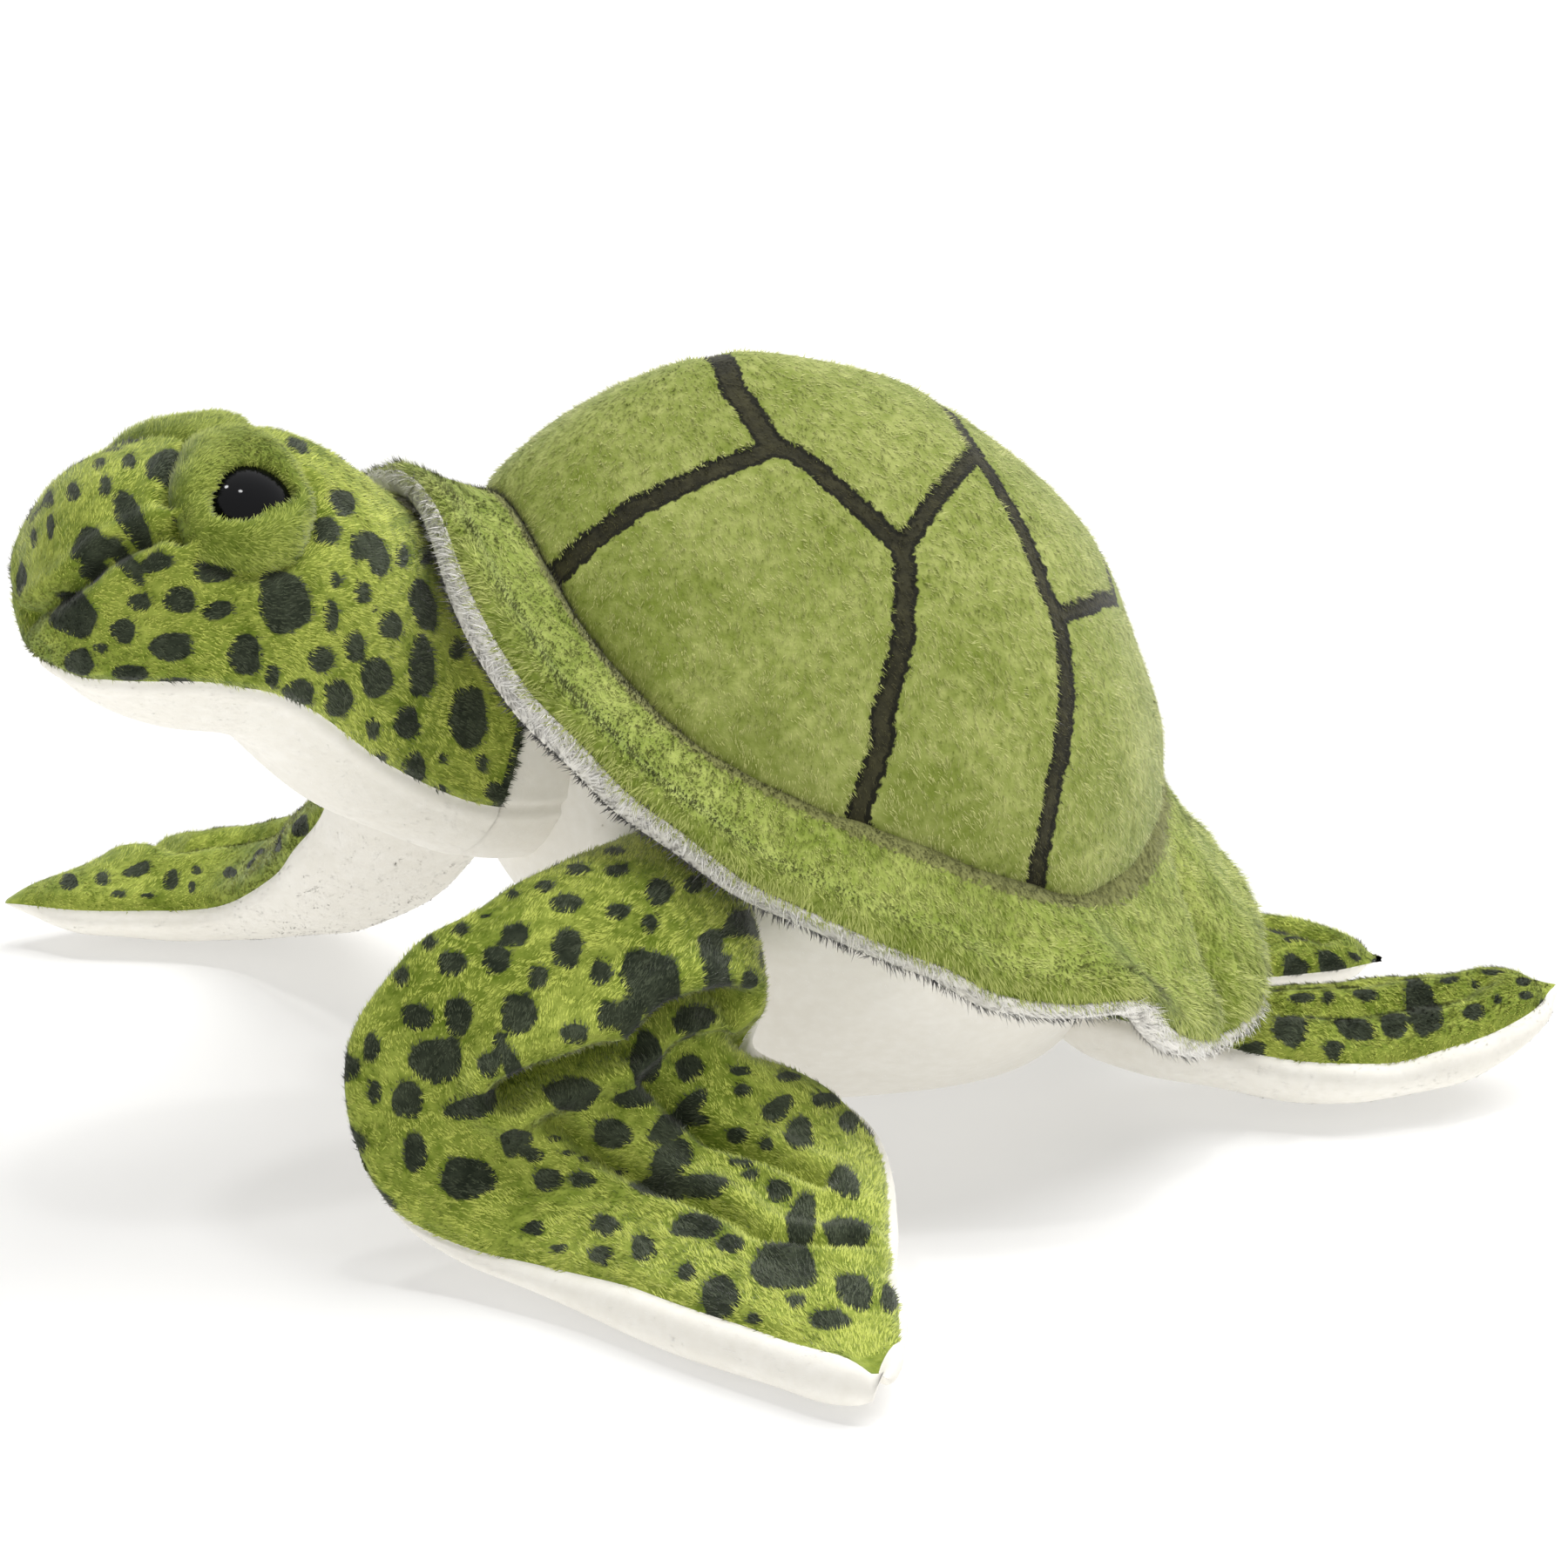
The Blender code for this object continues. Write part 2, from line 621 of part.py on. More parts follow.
for name, side in sides.items():
    frame = on_head(eye_turn, side)
    eye_outline = [(eye_radius * math.cos(turn), seat + eye_flange + eye_dome * math.sin(turn))
                   for turn in dome_turns]
    eye_outline += [(eye_radius, seat), (eye_shank_radius, seat), (eye_shank_radius, shank_end),
                    (0.0, shank_end)]
    turned(f"eye_{name}", eye_outline, eye_steps, frame, eye_black, parts)
    washer_outline = [(shank_bore, -washer_depth), (washer_radius, -washer_depth),
                      (washer_radius, washer_bottom), (shank_bore, washer_bottom),
                      (shank_bore, -washer_depth)]
    turned(f"eye_washer_{name}", washer_outline, eye_steps, frame, washer_white, parts)
    eye_room = [(0.0, cut_overrun), (eye_radius + seam_gap, cut_overrun),
                (eye_radius + seam_gap, eye_lift), (shank_bore, eye_lift),
                (shank_bore, -cut_overrun), (0.0, -cut_overrun)]
    eye_cutter = as_cutter(turned(f"eye_room_{name}", eye_room, eye_steps, frame, None, cutters))
    washer_room = [(0.0, cut_overrun), (washer_seat, cut_overrun),
                   (washer_seat, washer_bottom - fill_gap), (shank_bore, washer_bottom - fill_gap),
                   (shank_bore, shank_end - fill_gap), (0.0, shank_end - fill_gap)]
    cut(head_fill, as_cutter(turned(f"washer_room_{name}", washer_room, eye_steps, frame, None,
                                    cutters)))
    shank_room = [(0.0, cut_overrun), (shank_bore, cut_overrun), (shank_bore, -cut_overrun),
                  (0.0, -cut_overrun)]
    cut(head_panels["head_cover"], as_cutter(turned(f"shank_room_{name}", shank_room, eye_steps,
                                                    frame, None, cutters)))
    patch_bm = bmesh.new()
    bmesh.ops.create_uvsphere(patch_bm, u_segments=24, v_segments=12, radius=1.0)
    patch_bm.transform(Matrix.Diagonal((patch_half_length, patch_half_height, patch_half_depth, 1.0)))
    patch_bm.transform(on_head(patch_turn, side))
    patch = place(f"eye_patch_{name}", patch_bm, neck_root, lid_green)
    cut(patch, head_form)
    cut(patch, eye_cutter)

# Flippers: a cloth top and underside round a filling, each on a wad at its root
panel_materials = {"top": skin_green, "underside": cream, "stuffing": fibre}
for name, side in sides.items():
    stations, tip = flipper_stations(
        shoulders[name], shoulder_ball, -1.0, front_reach, front_station_shares[name],
        front_tip_shares[name], side, 0.0)
    flipper("front_flipper", name, shoulders[name], shoulder_wad, stations, tip,
            Vector((0.0, side, 1.0)), panel_materials)
    stations, tip = flipper_stations(
        hips[name], hip_ball, 1.0, rear_reach, rear_station_shares[name],
        rear_tip_shares[name], side, -rear_turns[name] * side)
    flipper("rear_flipper", name, hips[name], hip_wad, stations, tip, up, panel_materials)
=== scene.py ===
import math

import bpy
import numpy as np
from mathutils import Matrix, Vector


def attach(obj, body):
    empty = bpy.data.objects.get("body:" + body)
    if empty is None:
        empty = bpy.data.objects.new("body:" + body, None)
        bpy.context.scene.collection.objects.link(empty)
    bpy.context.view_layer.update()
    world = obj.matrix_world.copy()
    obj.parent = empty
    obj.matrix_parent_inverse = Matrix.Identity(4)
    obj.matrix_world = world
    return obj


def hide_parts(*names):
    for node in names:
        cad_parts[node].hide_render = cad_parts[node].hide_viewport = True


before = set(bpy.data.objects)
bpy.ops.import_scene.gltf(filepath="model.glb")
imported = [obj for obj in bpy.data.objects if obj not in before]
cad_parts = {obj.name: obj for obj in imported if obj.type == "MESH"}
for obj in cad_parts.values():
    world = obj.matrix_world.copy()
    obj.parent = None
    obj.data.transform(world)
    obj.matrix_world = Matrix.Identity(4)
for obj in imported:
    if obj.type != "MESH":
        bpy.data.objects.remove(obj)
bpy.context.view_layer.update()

# The studio: a white table under a white wall, with the camera low on the turtle's left side and
# a little in front. A broad lamp hangs high over the tail, a weak one lights the face, and two
# small ones make the reflections in the eyes. None of it belongs to the turtle.
view_turn = math.radians(-25)
view_rise = math.radians(17)
view_distance = 0.95
view_target = Vector((0.0, 0.0, 0.06))
view_back = Vector((math.sin(view_turn) * math.cos(view_rise), -math.cos(view_turn) * math.cos(view_rise),
                    math.sin(view_rise)))
camera = bpy.data.objects.new("camera", bpy.data.cameras.new("camera"))
camera.location = view_target + view_back * view_distance
camera.rotation_euler = (-view_back).to_track_quat("-Z", "Y").to_euler()
camera.data.sensor_width = 36.0
camera.data.lens = 115.52
bpy.context.scene.collection.objects.link(camera)
bpy.context.scene.camera = camera
bpy.context.scene.view_settings.view_transform = "Standard"
view_right = Vector((math.cos(view_turn), math.sin(view_turn), 0.0))
view_up = view_back.cross(view_right)
photo_side = 1800.0
photo_focus = camera.data.lens / camera.data.sensor_width * photo_side

for lamp_name, strength, spread, heading, shows_in_eyes in (
        ("key", 2.3, 50.0, (-0.48, -0.04, -0.87), False),
        ("fill", 0.12, 60.0, (0.35, 0.80, -0.45), False),
        ("eye light", 0.42, 6.0, (0.212, -0.213, -0.954), True),
        ("second eye light", 0.28, 5.0, (-0.034, 0.078, -0.996), True),
):
    lamp = bpy.data.lights.new(lamp_name, "SUN")
    lamp.energy = strength
    lamp.angle = math.radians(spread)
    lamp_object = bpy.data.objects.new(lamp_name, lamp)
    lamp_object.rotation_euler = Vector(heading).to_track_quat("-Z", "Y").to_euler()
    lamp_object.visible_glossy = shows_in_eyes
    bpy.context.scene.collection.objects.link(lamp_object)


def feed(tree, node, inputs):
    """Give each input of a node its value, or the output that feeds it."""
    for socket, value in inputs.items():
        if isinstance(value, bpy.types.NodeSocket):
            tree.links.new(value, node.inputs[socket])
        else:
            node.inputs[socket].default_value = value


def add_node(tree, kind, inputs=(), **settings):
    node = tree.nodes.new("ShaderNode" + kind)
    for setting, value in settings.items():
        setattr(node, setting, value)
    feed(tree, node, dict(inputs))
    return node


def new_material(name):
    """A material, its node tree and its Principled shader."""
    material = bpy.data.materials.new(name)
    material.use_nodes = True
    return material, material.node_tree, material.node_tree.nodes["Principled BSDF"]


world = bpy.data.worlds.new("studio")
bpy.context.scene.world = world
world.use_nodes = True
air = world.node_tree
air.nodes.clear()
rays = add_node(air, "LightPath").outputs
seen = add_node(air, "Math", {0: rays["Is Camera Ray"], 1: rays["Is Transmission Ray"]}, operation="MAXIMUM")
seen_or_glossy = add_node(air, "Math", {0: seen.outputs["Value"], 1: rays["Is Glossy Ray"]},
                          operation="MAXIMUM")
wall_light = add_node(air, "Background", {"Color": (1.0, 0.985, 0.96, 1.0), "Strength": 0.50})
wall_seen = add_node(air, "Background", {"Color": (1.0, 1.0, 1.0, 1.0), "Strength": 1.0})
wall_mix = add_node(air, "MixShader", {"Fac": seen_or_glossy.outputs["Value"],
                                       1: wall_light.outputs["Background"],
                                       2: wall_seen.outputs["Background"]})
add_node(air, "OutputWorld", {"Surface": wall_mix.outputs["Shader"]})

table_half = 4.0
table_level = -0.0004
table_mesh = bpy.data.meshes.new("table")
table_mesh.from_pydata([(x * table_half, y * table_half, table_level)
                        for x, y in ((-1, -1), (1, -1), (1, 1), (-1, 1))], [], [(0, 1, 2, 3)])
table = bpy.data.objects.new("table", table_mesh)
bpy.context.scene.collection.objects.link(table)
table_white, table_tree, _ = new_material("white table")
table_tree.nodes.clear()
camera_ray = add_node(table_tree, "LightPath").outputs["Is Camera Ray"]
glow_share = add_node(table_tree, "Math", {0: camera_ray, 1: 0.10, 2: 0.25}, operation="MULTIPLY_ADD")
glow_strength = add_node(table_tree, "Math", {0: camera_ray, 1: -0.7, 2: 1.7}, operation="MULTIPLY_ADD")
paper = add_node(table_tree, "BsdfDiffuse", {"Color": (0.93, 0.925, 0.915, 1.0)})
glow = add_node(table_tree, "Emission", {"Color": (1.0, 1.0, 1.0, 1.0),
                                         "Strength": glow_strength.outputs["Value"]})
table_mix = add_node(table_tree, "MixShader", {"Fac": glow_share.outputs["Value"],
                                               1: paper.outputs["BSDF"], 2: glow.outputs["Emission"]})
add_node(table_tree, "OutputMaterial", {"Surface": table_mix.outputs["Shader"]})
table_mesh.materials.append(table_white)

# Dome of the shell: one crowned panel of short green pile cloth over the filling, sewn
# to the rim all round. Dark strips are printed on it, which part it into scutes.
shell_centre = np.array((-0.0057, 0.0, 0.0663))
shell_tilt = math.radians(24.9)
shell_back = np.array((math.cos(shell_tilt), 0.0, -math.sin(shell_tilt)))
shell_left = np.array((0.0, -1.0, 0.0))
shell_out = np.array((math.sin(shell_tilt), 0.0, math.cos(shell_tilt)))
shell_half_length = 0.0713
shell_half_width = 0.0680
shell_height = 0.0763
shell_fullness = 1.17
shell_tail_widening = 0.30
saddle_rise = 0.0287
crown_rise = 0.0042
crown_back, crown_half_length, crown_half_width = -0.56, 0.26, 0.42
skin_depth = 0.0009
far_side = np.array((1.0, -1.0, 1.0))


def unit(vectors):
    return vectors / np.maximum(np.linalg.norm(vectors, axis=-1, keepdims=True), 1e-12)


def ripples(places, length, seed):
    """Smooth waves with no direction of their own: three values a place, about -1 to 1."""
    rng = np.random.default_rng(seed)
    total = np.zeros((*places.shape[:-1], 3))
    for _ in range(9):
        heading = unit(rng.normal(size=3)) * 2.0 * math.pi / length * rng.uniform(0.7, 1.5)
        total += np.sin((places @ heading)[..., None] + rng.uniform(0.0, 2.0 * math.pi, 3))
    return total / 3.0


def facing(places, closed, inside):
    """Normals of a grid of places, pointed away from a place inside the piece."""
    if closed:
        across = np.roll(places, -1, axis=1) - np.roll(places, 1, axis=1)
    else:
        across = np.gradient(places, axis=1)
    along = np.gradient(places, axis=0)
    normals = np.cross(along, across)
    weak = np.linalg.norm(normals, axis=-1) < 1e-12
    normals = unit(normals)
    if np.sum(normals * (places - inside)) < 0.0:
        normals = -normals
    if weak[0].any():
        normals[0] = unit(normals[1].mean(axis=0))
    if weak[-1].any():
        normals[-1] = unit(normals[-2].mean(axis=0))
    return normals


def nearest(places, route):
    """How far each place is from a route, given by closely spaced places on it."""
    flat = places.reshape(-1, 3)
    closest = np.full(len(flat), np.inf)
    for start in range(0, len(flat), 4096):
        part = flat[start:start + 4096]
        gap = np.linalg.norm(part[:, None, :] - route[None, :, :], axis=-1)
        closest[start:start + 4096] = gap.min(axis=1)
    return closest.reshape(places.shape[:-1])


def in_photo(places):
    """Where places fall in the photo, in its pixels, and how far they lie from the camera."""
    away = places - np.array(camera.location)
    depth = -(away @ np.array(view_back))
    across = away @ np.array(view_right) / depth
    upward = away @ np.array(view_up) / depth
    return photo_side / 2.0 + photo_focus * np.stack([across, -upward], axis=-1), depth


def seen_index(places, normals, crop, points):
    """Index of the place of a grid that shows at each point, read in a crop of the photo."""
    left, top, zoom = crop
    pixel_slack = 1.5
    in_pixels, depth = in_photo(places)
    shown = np.sum(normals * (np.array(camera.location) - places), axis=-1) > 0.0
    found = []
    for x, y in points:
        gap = np.hypot(in_pixels[..., 0] - left - x / zoom, in_pixels[..., 1] - top - y / zoom)
        gap = np.where(shown, gap, np.inf)
        in_reach = np.where(gap < gap.min() + pixel_slack, depth, np.inf)
        found.append(np.unravel_index(np.argmin(in_reach), gap.shape))
    return found


def seen_places(places, normals, crop, points):
    return np.array([places[index] for index in seen_index(places, normals, crop, points)])


def seen_route(places, normals, crop, points):
    """Closely spaced places of a grid along a line, read in a crop of the photo."""
    stops = np.array(points, dtype=float)
    steps = np.linspace(0.0, len(stops) - 1.0, (len(stops) - 1) * 12 + 1)
    line = np.stack([np.interp(steps, np.arange(len(stops)), stops[:, axis]) for axis in (0, 1)], axis=-1)
    route = seen_places(places, normals, crop, line)
    for _ in range(4):
        route[1:-1] = (route[:-2] + 2.0 * route[1:-1] + route[2:]) / 4.0
    return route


def both_sides(route):
    return np.concatenate([route, route * far_side])


def seen_spots(places, normals, crop, readings):
    """Spots read in a crop of the photo: middle, half width, half height, and tilt in degrees.

    Each comes back as its middle and its long way on the cloth, and its half sizes in millimetres,
    a little smaller than read, and at most so many times as long as wide."""
    longest, shrink = 2.6, 0.93
    spots = []
    for x, y, half_x, half_y, *tilt in readings:
        index = seen_index(places, normals, crop, [(x, y)])[0]
        middle, out = places[index], normals[index]
        ahead = unit(np.cross(out, np.array((0.31, 0.87, 0.39))))
        around = np.cross(out, ahead)
        steps = [(in_photo(middle + way * 0.001)[0] - in_photo(middle)[0]) * crop[2]
                 for way in (ahead, around)]
        slant = math.radians(-tilt[0]) if tilt else 0.0
        ways = np.array([[math.cos(slant) * half_x, -math.sin(slant) * half_y],
                         [math.sin(slant) * half_x, math.cos(slant) * half_y]])
        turned, sizes, _ = np.linalg.svd(np.linalg.solve(np.stack(steps, axis=-1), ways))
        spots.append((middle, ahead * turned[0, 0] + around * turned[1, 0],
                      shrink * min(sizes[0], longest * sizes[1]), shrink * sizes[1]))
    return spots


def sew_panel(name, places, normals, nap, chart, mark, pile, closed, material,
              blades, width, stand, seed, pale=False):
    """A panel of pile cloth: its skin, and blades of pile that lie along the nap.

    mark is the distance in millimetres to the edge of a printed mark or of a painted line of shade, pile the
    length of the blades in metres, and stand how steeply they stand, from 0 to 1. Pale pile lets light
    through, so its blades are shaded more alike."""
    rng = np.random.default_rng(seed)
    scatter, tip_lift = (0.05, 0.05) if pale else (0.17, 0.25)
    laid = unit(nap - normals * np.sum(nap * normals, axis=-1, keepdims=True))
    sheet = np.concatenate([places, normals, laid, chart, mark[..., None], pile[..., None]], axis=-1)
    if closed:
        sheet = np.concatenate([sheet, sheet[:, :1]], axis=1)
    rows, columns = sheet.shape[:2]
    index = np.arange(rows * columns).reshape(rows, columns)
    corners = np.stack([index[:-1, :-1], index[:-1, 1:], index[1:, 1:], index[1:, :-1]], axis=-1)
    corners = corners.reshape(-1, 4)
    flat = sheet.reshape(-1, sheet.shape[-1])
    first, second, third, fourth = (flat[corners[:, k], :3] for k in range(4))
    face_normal = np.cross(third - first, fourth - second)
    if np.sum(face_normal * flat[corners[:, 0], 3:6]) < 0.0:
        corners = corners[:, ::-1]
    area = np.linalg.norm(face_normal, axis=-1) / 2.0
    weight = area * (flat[corners, 12].mean(axis=1) > 1e-5)
    chosen = rng.choice(len(corners), size=blades, p=weight / weight.sum())
    s, t = rng.random(blades)[:, None], rng.random(blades)[:, None]
    a, b, c, d = (flat[corners[chosen, k]] for k in range(4))
    root = (a * (1 - s) + b * s) * (1 - t) + (d * (1 - s) + c * s) * t
    foot, out, lie = root[:, :3], unit(root[:, 3:6]), unit(root[:, 6:9])
    drawn = foot - lie * np.sum(lie * foot, axis=-1, keepdims=True) * 0.72
    stroke = ripples(drawn, 0.0023, seed + 5)[:, :1]
    swirl = ripples(foot, 0.0090, seed + 1) * 0.30 + ripples(drawn, 0.0034, seed + 2) * 0.26
    lean = unit(lie + swirl - out * np.sum(swirl * out, axis=-1, keepdims=True)
                + rng.normal(size=foot.shape) * 0.14)
    rise = np.clip(stand + 0.13 * stroke + rng.normal(size=(blades, 1)) * 0.06, 0.06, 1.0)
    heading = unit(lean * (1.0 - rise) + out * rise)
    reach = root[:, 12:13] * (0.75 + 0.5 * rng.random((blades, 1)))
    side = unit(np.cross(heading, out)) * width * 0.5 * (0.7 + 0.6 * rng.random((blades, 1)))
    foot = foot - out * 0.00025
    foot[:, 2] = np.maximum(foot[:, 2], 0.0)
    tips = foot + heading * reach
    tips[:, 2] = np.maximum(tips[:, 2], 0.00015)
    blade_verts = np.stack([foot - side, foot + side, tips], axis=1).reshape(-1, 3)
    blade_out = unit(out + heading * tip_lift + rng.normal(size=foot.shape) * scatter)
    tone = np.clip(0.5 + 0.38 * stroke[:, 0] + 0.17 * ripples(foot, 0.012, seed + 4)[:, 0]
                   + 0.12 * rng.normal(size=blades), 0.0, 1.0)
    grid_count = len(flat)
    grid_places = flat[:, :3].copy()
    grid_places[:, 2] = np.maximum(grid_places[:, 2], 0.0)
    mesh = bpy.data.meshes.new(name)
    verts = np.concatenate([grid_places, blade_verts])
    quads = len(corners)
    mesh.vertices.add(len(verts))
    mesh.vertices.foreach_set("co", verts.astype(np.float32).ravel())
    blade_index = grid_count + np.arange(3 * blades)
    loops = np.concatenate([corners.ravel(), blade_index])
    mesh.loops.add(len(loops))
    mesh.loops.foreach_set("vertex_index", loops.astype(np.int32))
    mesh.polygons.add(quads + blades)
    starts = np.concatenate([np.arange(quads) * 4, quads * 4 + np.arange(blades) * 3])
    mesh.polygons.foreach_set("loop_start", starts.astype(np.int32))
    chart_layer = mesh.uv_layers.new(name="OFBake")
    vert_chart = np.concatenate([flat[:, 9:11], np.repeat(root[:, 9:11], 3, axis=0)])
    chart_layer.data.foreach_set("uv", vert_chart[loops].astype(np.float32).ravel())
    pile_layer = mesh.attributes.new("pile", "FLOAT_VECTOR", "POINT")
    # The skin under the blades gets a low height in the pile, each blade's root 0 and its tip 1. The colour uses
    # these to paint shade at the roots.
    grid_pile = np.stack([flat[:, 11], np.full(grid_count, 0.25), np.full(grid_count, 0.45)], axis=-1)
    blade_pile = np.repeat(np.stack([root[:, 11], np.zeros(blades), tone], axis=-1), 3, axis=0)
    blade_pile[2::3, 1] = 1.0
    pile_layer.data.foreach_set("vector", np.concatenate([grid_pile, blade_pile]).astype(np.float32).ravel())
    mesh.update(calc_edges=True)
    mesh.polygons.foreach_set("use_smooth", np.ones(quads + blades, dtype=bool))
    shading = np.concatenate([unit(flat[:, 3:6]), np.repeat(blade_out, 3, axis=0)])
    mesh.normals_split_custom_set_from_vertices(shading.astype(np.float32))
    mesh.materials.append(material)
    panel = bpy.data.objects.new(name, mesh)
    bpy.context.scene.collection.objects.link(panel)
    return panel


def pile_group():
    """Colours of pile cloth: darker at the root with painted shade, lighter at the tip, with its printed marks and
    painted shade lines.
    """
    group = bpy.data.node_groups.new("pile cloth", "ShaderNodeTree")
    for socket in ("Ground", "Shade", "Mark", "Mark Edge And Root Shade"):
        group.interface.new_socket(socket, in_out="INPUT", socket_type="NodeSocketColor")
    for socket in ("Edge Width", "Fuzz"):
        group.interface.new_socket(socket, in_out="INPUT", socket_type="NodeSocketFloat")
    group.interface.new_socket("Colour", in_out="OUTPUT", socket_type="NodeSocketColor")
    group.interface.new_socket("Nap", in_out="OUTPUT", socket_type="NodeSocketFloat")
    given = group.nodes.new("NodeGroupInput").outputs
    made = group.nodes.new("NodeGroupOutput")
    attribute = add_node(group, "Attribute", attribute_name="pile")
    parts = add_node(group, "SeparateXYZ", {"Vector": attribute.outputs["Vector"]}).outputs
    place = add_node(group, "TexCoord").outputs["Object"]

    def noise(scale, detail):
        return add_node(group, "TexNoise", {"Scale": scale, "Detail": detail, "Vector": place}).outputs["Fac"]

    def combine(kind, first, second):
        return add_node(group, "Math", {0: first, 1: second}, operation=kind).outputs["Value"]

    def about_half(value, strength):
        return combine("MULTIPLY", combine("SUBTRACT", value, 0.5), strength)

    def spread(value, low, high):
        return add_node(group, "MapRange", {"Value": value, "From Min": low, "From Max": high},
                        interpolation_type="SMOOTHSTEP").outputs["Result"]

    def mix(share, low, high):
        low_colour, high_colour, mixed_colour = 6, 7, 2
        return add_node(group, "Mix", {"Factor": share, low_colour: low, high_colour: high},
                        data_type="RGBA").outputs[mixed_colour]

    edge = combine("ADD", parts["X"], about_half(noise(900.0, 2.0), given["Fuzz"]))
    marked = spread(edge, 0.25, -0.25)
    inner = spread(combine("ADD", edge, given["Edge Width"]), 0.15, -0.15)
    # depth mixes each place's height in the pile (0 at the root, 1 at the tip) with its random tone. Its low end
    # is painted shade among the blades at their roots; the tone and noise are the cloth's own uneven colour.
    depth = combine("ADD", combine("MULTIPLY", parts["Y"], 0.70), about_half(parts["Z"], 1.25))
    patchy = about_half(noise(60.0, 3.0), 0.7)
    streak = about_half(noise(420.0, 3.0), 0.8)
    light = spread(combine("ADD", combine("ADD", depth, patchy), streak), -0.25, 0.85)
    ground = mix(light, given["Shade"], given["Ground"])
    # At the roots a mark turns to its edge colour: painted shade among the blades, besides the printed edge of the
    # strips.
    deep_mark = mix(light, given["Mark Edge And Root Shade"], mix(inner, given["Mark Edge And Root Shade"], given["Mark"]))
    feed(group, made, {"Colour": mix(marked, ground, deep_mark),
                       "Nap": combine("ADD", noise(1400.0, 3.0), streak)})
    return group


pile_cloth = pile_group()


def pile_finish(name, ground, shade, mark=(0.02, 0.02, 0.02), mark_edge_and_root_shade=(0.02, 0.02, 0.02),
                edge_width=0.0, fuzz=1.2, sheen=0.25, weight=1.0):
    """A material of pile cloth in one colour, with painted shade at the roots of its blades, and with its printed
    marks and painted shade lines.
    """
    material, tree, shader = new_material(name)
    cloth = add_node(tree, "Group", {"Ground": (*ground, 1.0), "Shade": (*shade, 1.0), "Mark": (*mark, 1.0),
                                     "Mark Edge And Root Shade": (*mark_edge_and_root_shade, 1.0), "Edge Width": edge_width,
                                     "Fuzz": fuzz}, node_tree=pile_cloth)
    surface = add_node(tree, "NewGeometry").outputs
    outward = add_node(tree, "Math", {0: surface["Backfacing"], 1: -2.0, 2: 1.0}, operation="MULTIPLY_ADD")
    turned = add_node(tree, "VectorMath", {"Vector": surface["Normal"], "Scale": outward.outputs["Value"]},
                      operation="SCALE")
    bump = add_node(tree, "Bump", {"Strength": 0.35 * weight, "Distance": 0.0006,
                                   "Height": cloth.outputs["Nap"], "Normal": turned.outputs["Vector"]})
    feed(tree, shader, {"Base Color": cloth.outputs["Colour"], "Normal": bump.outputs["Normal"],
                        "Roughness": 0.92, "Specular IOR Level": 0.12, "Sheen Weight": sheen,
                        "Sheen Roughness": 0.45})
    return material


def on_dome(back, left, proud=0.0):
    """A place on the dome over its plan, where the sewn edge lies one unit from the top."""
    turn = np.arctan2(left, back)
    out = np.clip(np.hypot(back, left), 0.0, 1.0)
    low = out ** (1.0 / shell_fullness)
    high = np.sqrt(np.clip(1.0 - low * low, 0.0, 1.0))
    length = (shell_half_length + proud) * np.cos(turn) * out
    width = (shell_half_width + proud) * (1.0 + shell_tail_widening * np.cos(turn)) * np.sin(turn) * out
    saddle = saddle_rise * np.cos(turn) ** 4 * (1.0 - high)
    crown = crown_rise * np.exp(-((back - crown_back) / crown_half_length) ** 2
                                - (left / crown_half_width) ** 2)
    height = (shell_height + proud) * high ** shell_fullness + saddle + crown
    return (shell_centre + shell_back * length[..., None] + shell_left * width[..., None]
            + shell_out * height[..., None])


dome_turns = np.linspace(0.0, 2.0 * math.pi, 340, endpoint=False)
dome_turn, dome_rise = np.meshgrid(dome_turns, np.linspace(0.0, math.pi / 2.0, 110))
dome_reach = np.cos(dome_rise) ** shell_fullness
dome_plan = np.stack([np.cos(dome_turn), np.sin(dome_turn)], axis=-1) * dome_reach[..., None]
dome_places = on_dome(dome_plan[..., 0], dome_plan[..., 1], -skin_depth)
dome_normals = facing(dome_places, True, shell_centre)
dome_wave = ripples(dome_places, 0.045, 11)[..., 0] * 0.0006
dome_pucker = np.exp(-dome_rise / 0.22) * ripples(dome_places, 0.016, 12)[..., 0] * 0.0006
dome_tuck = -0.0012 * np.exp(-(dome_rise / 0.05) ** 2)
dome_places = dome_places + dome_normals * (dome_wave + dome_pucker + dome_tuck)[..., None]
dome_normals = facing(dome_places, True, shell_centre)
dome_crop = (540.0, 390.0, 1.823)
strip_readings = [
    (2.9, [(630, 215), (575, 130), (540, 80)], True),
    (2.5, [(630, 215), (600, 235), (520, 265), (440, 300), (350, 345), (280, 395), (220, 445), (170, 500)],
     False),
    (2.4, [(630, 215), (660, 225), (720, 265), (780, 315), (840, 370), (905, 440)], False),
    (2.2, [(905, 440), (930, 400), (960, 350), (1000, 300), (1060, 232)], False),
    (2.5, [(905, 440), (913, 500), (910, 580), (900, 650), (880, 740), (860, 830), (840, 910), (820, 980),
           (802, 1050)], False),
    (2.0, [(1060, 232), (1030, 180), (1000, 140)], True),
    (2.2, [(1060, 232), (1090, 275), (1130, 340), (1160, 400), (1190, 470), (1210, 530), (1235, 575)],
     False),
    (2.1, [(1235, 575), (1290, 555), (1350, 535)], True),
    (2.3, [(1235, 575), (1245, 640), (1252, 720), (1250, 790), (1238, 870), (1222, 950), (1200, 1050),
           (1182, 1150)], False),
]
strip_edge = 0.25
groove_depth, groove_edge = 0.0005, 0.35
dome_strip = np.full(dome_rise.shape, 90.0)
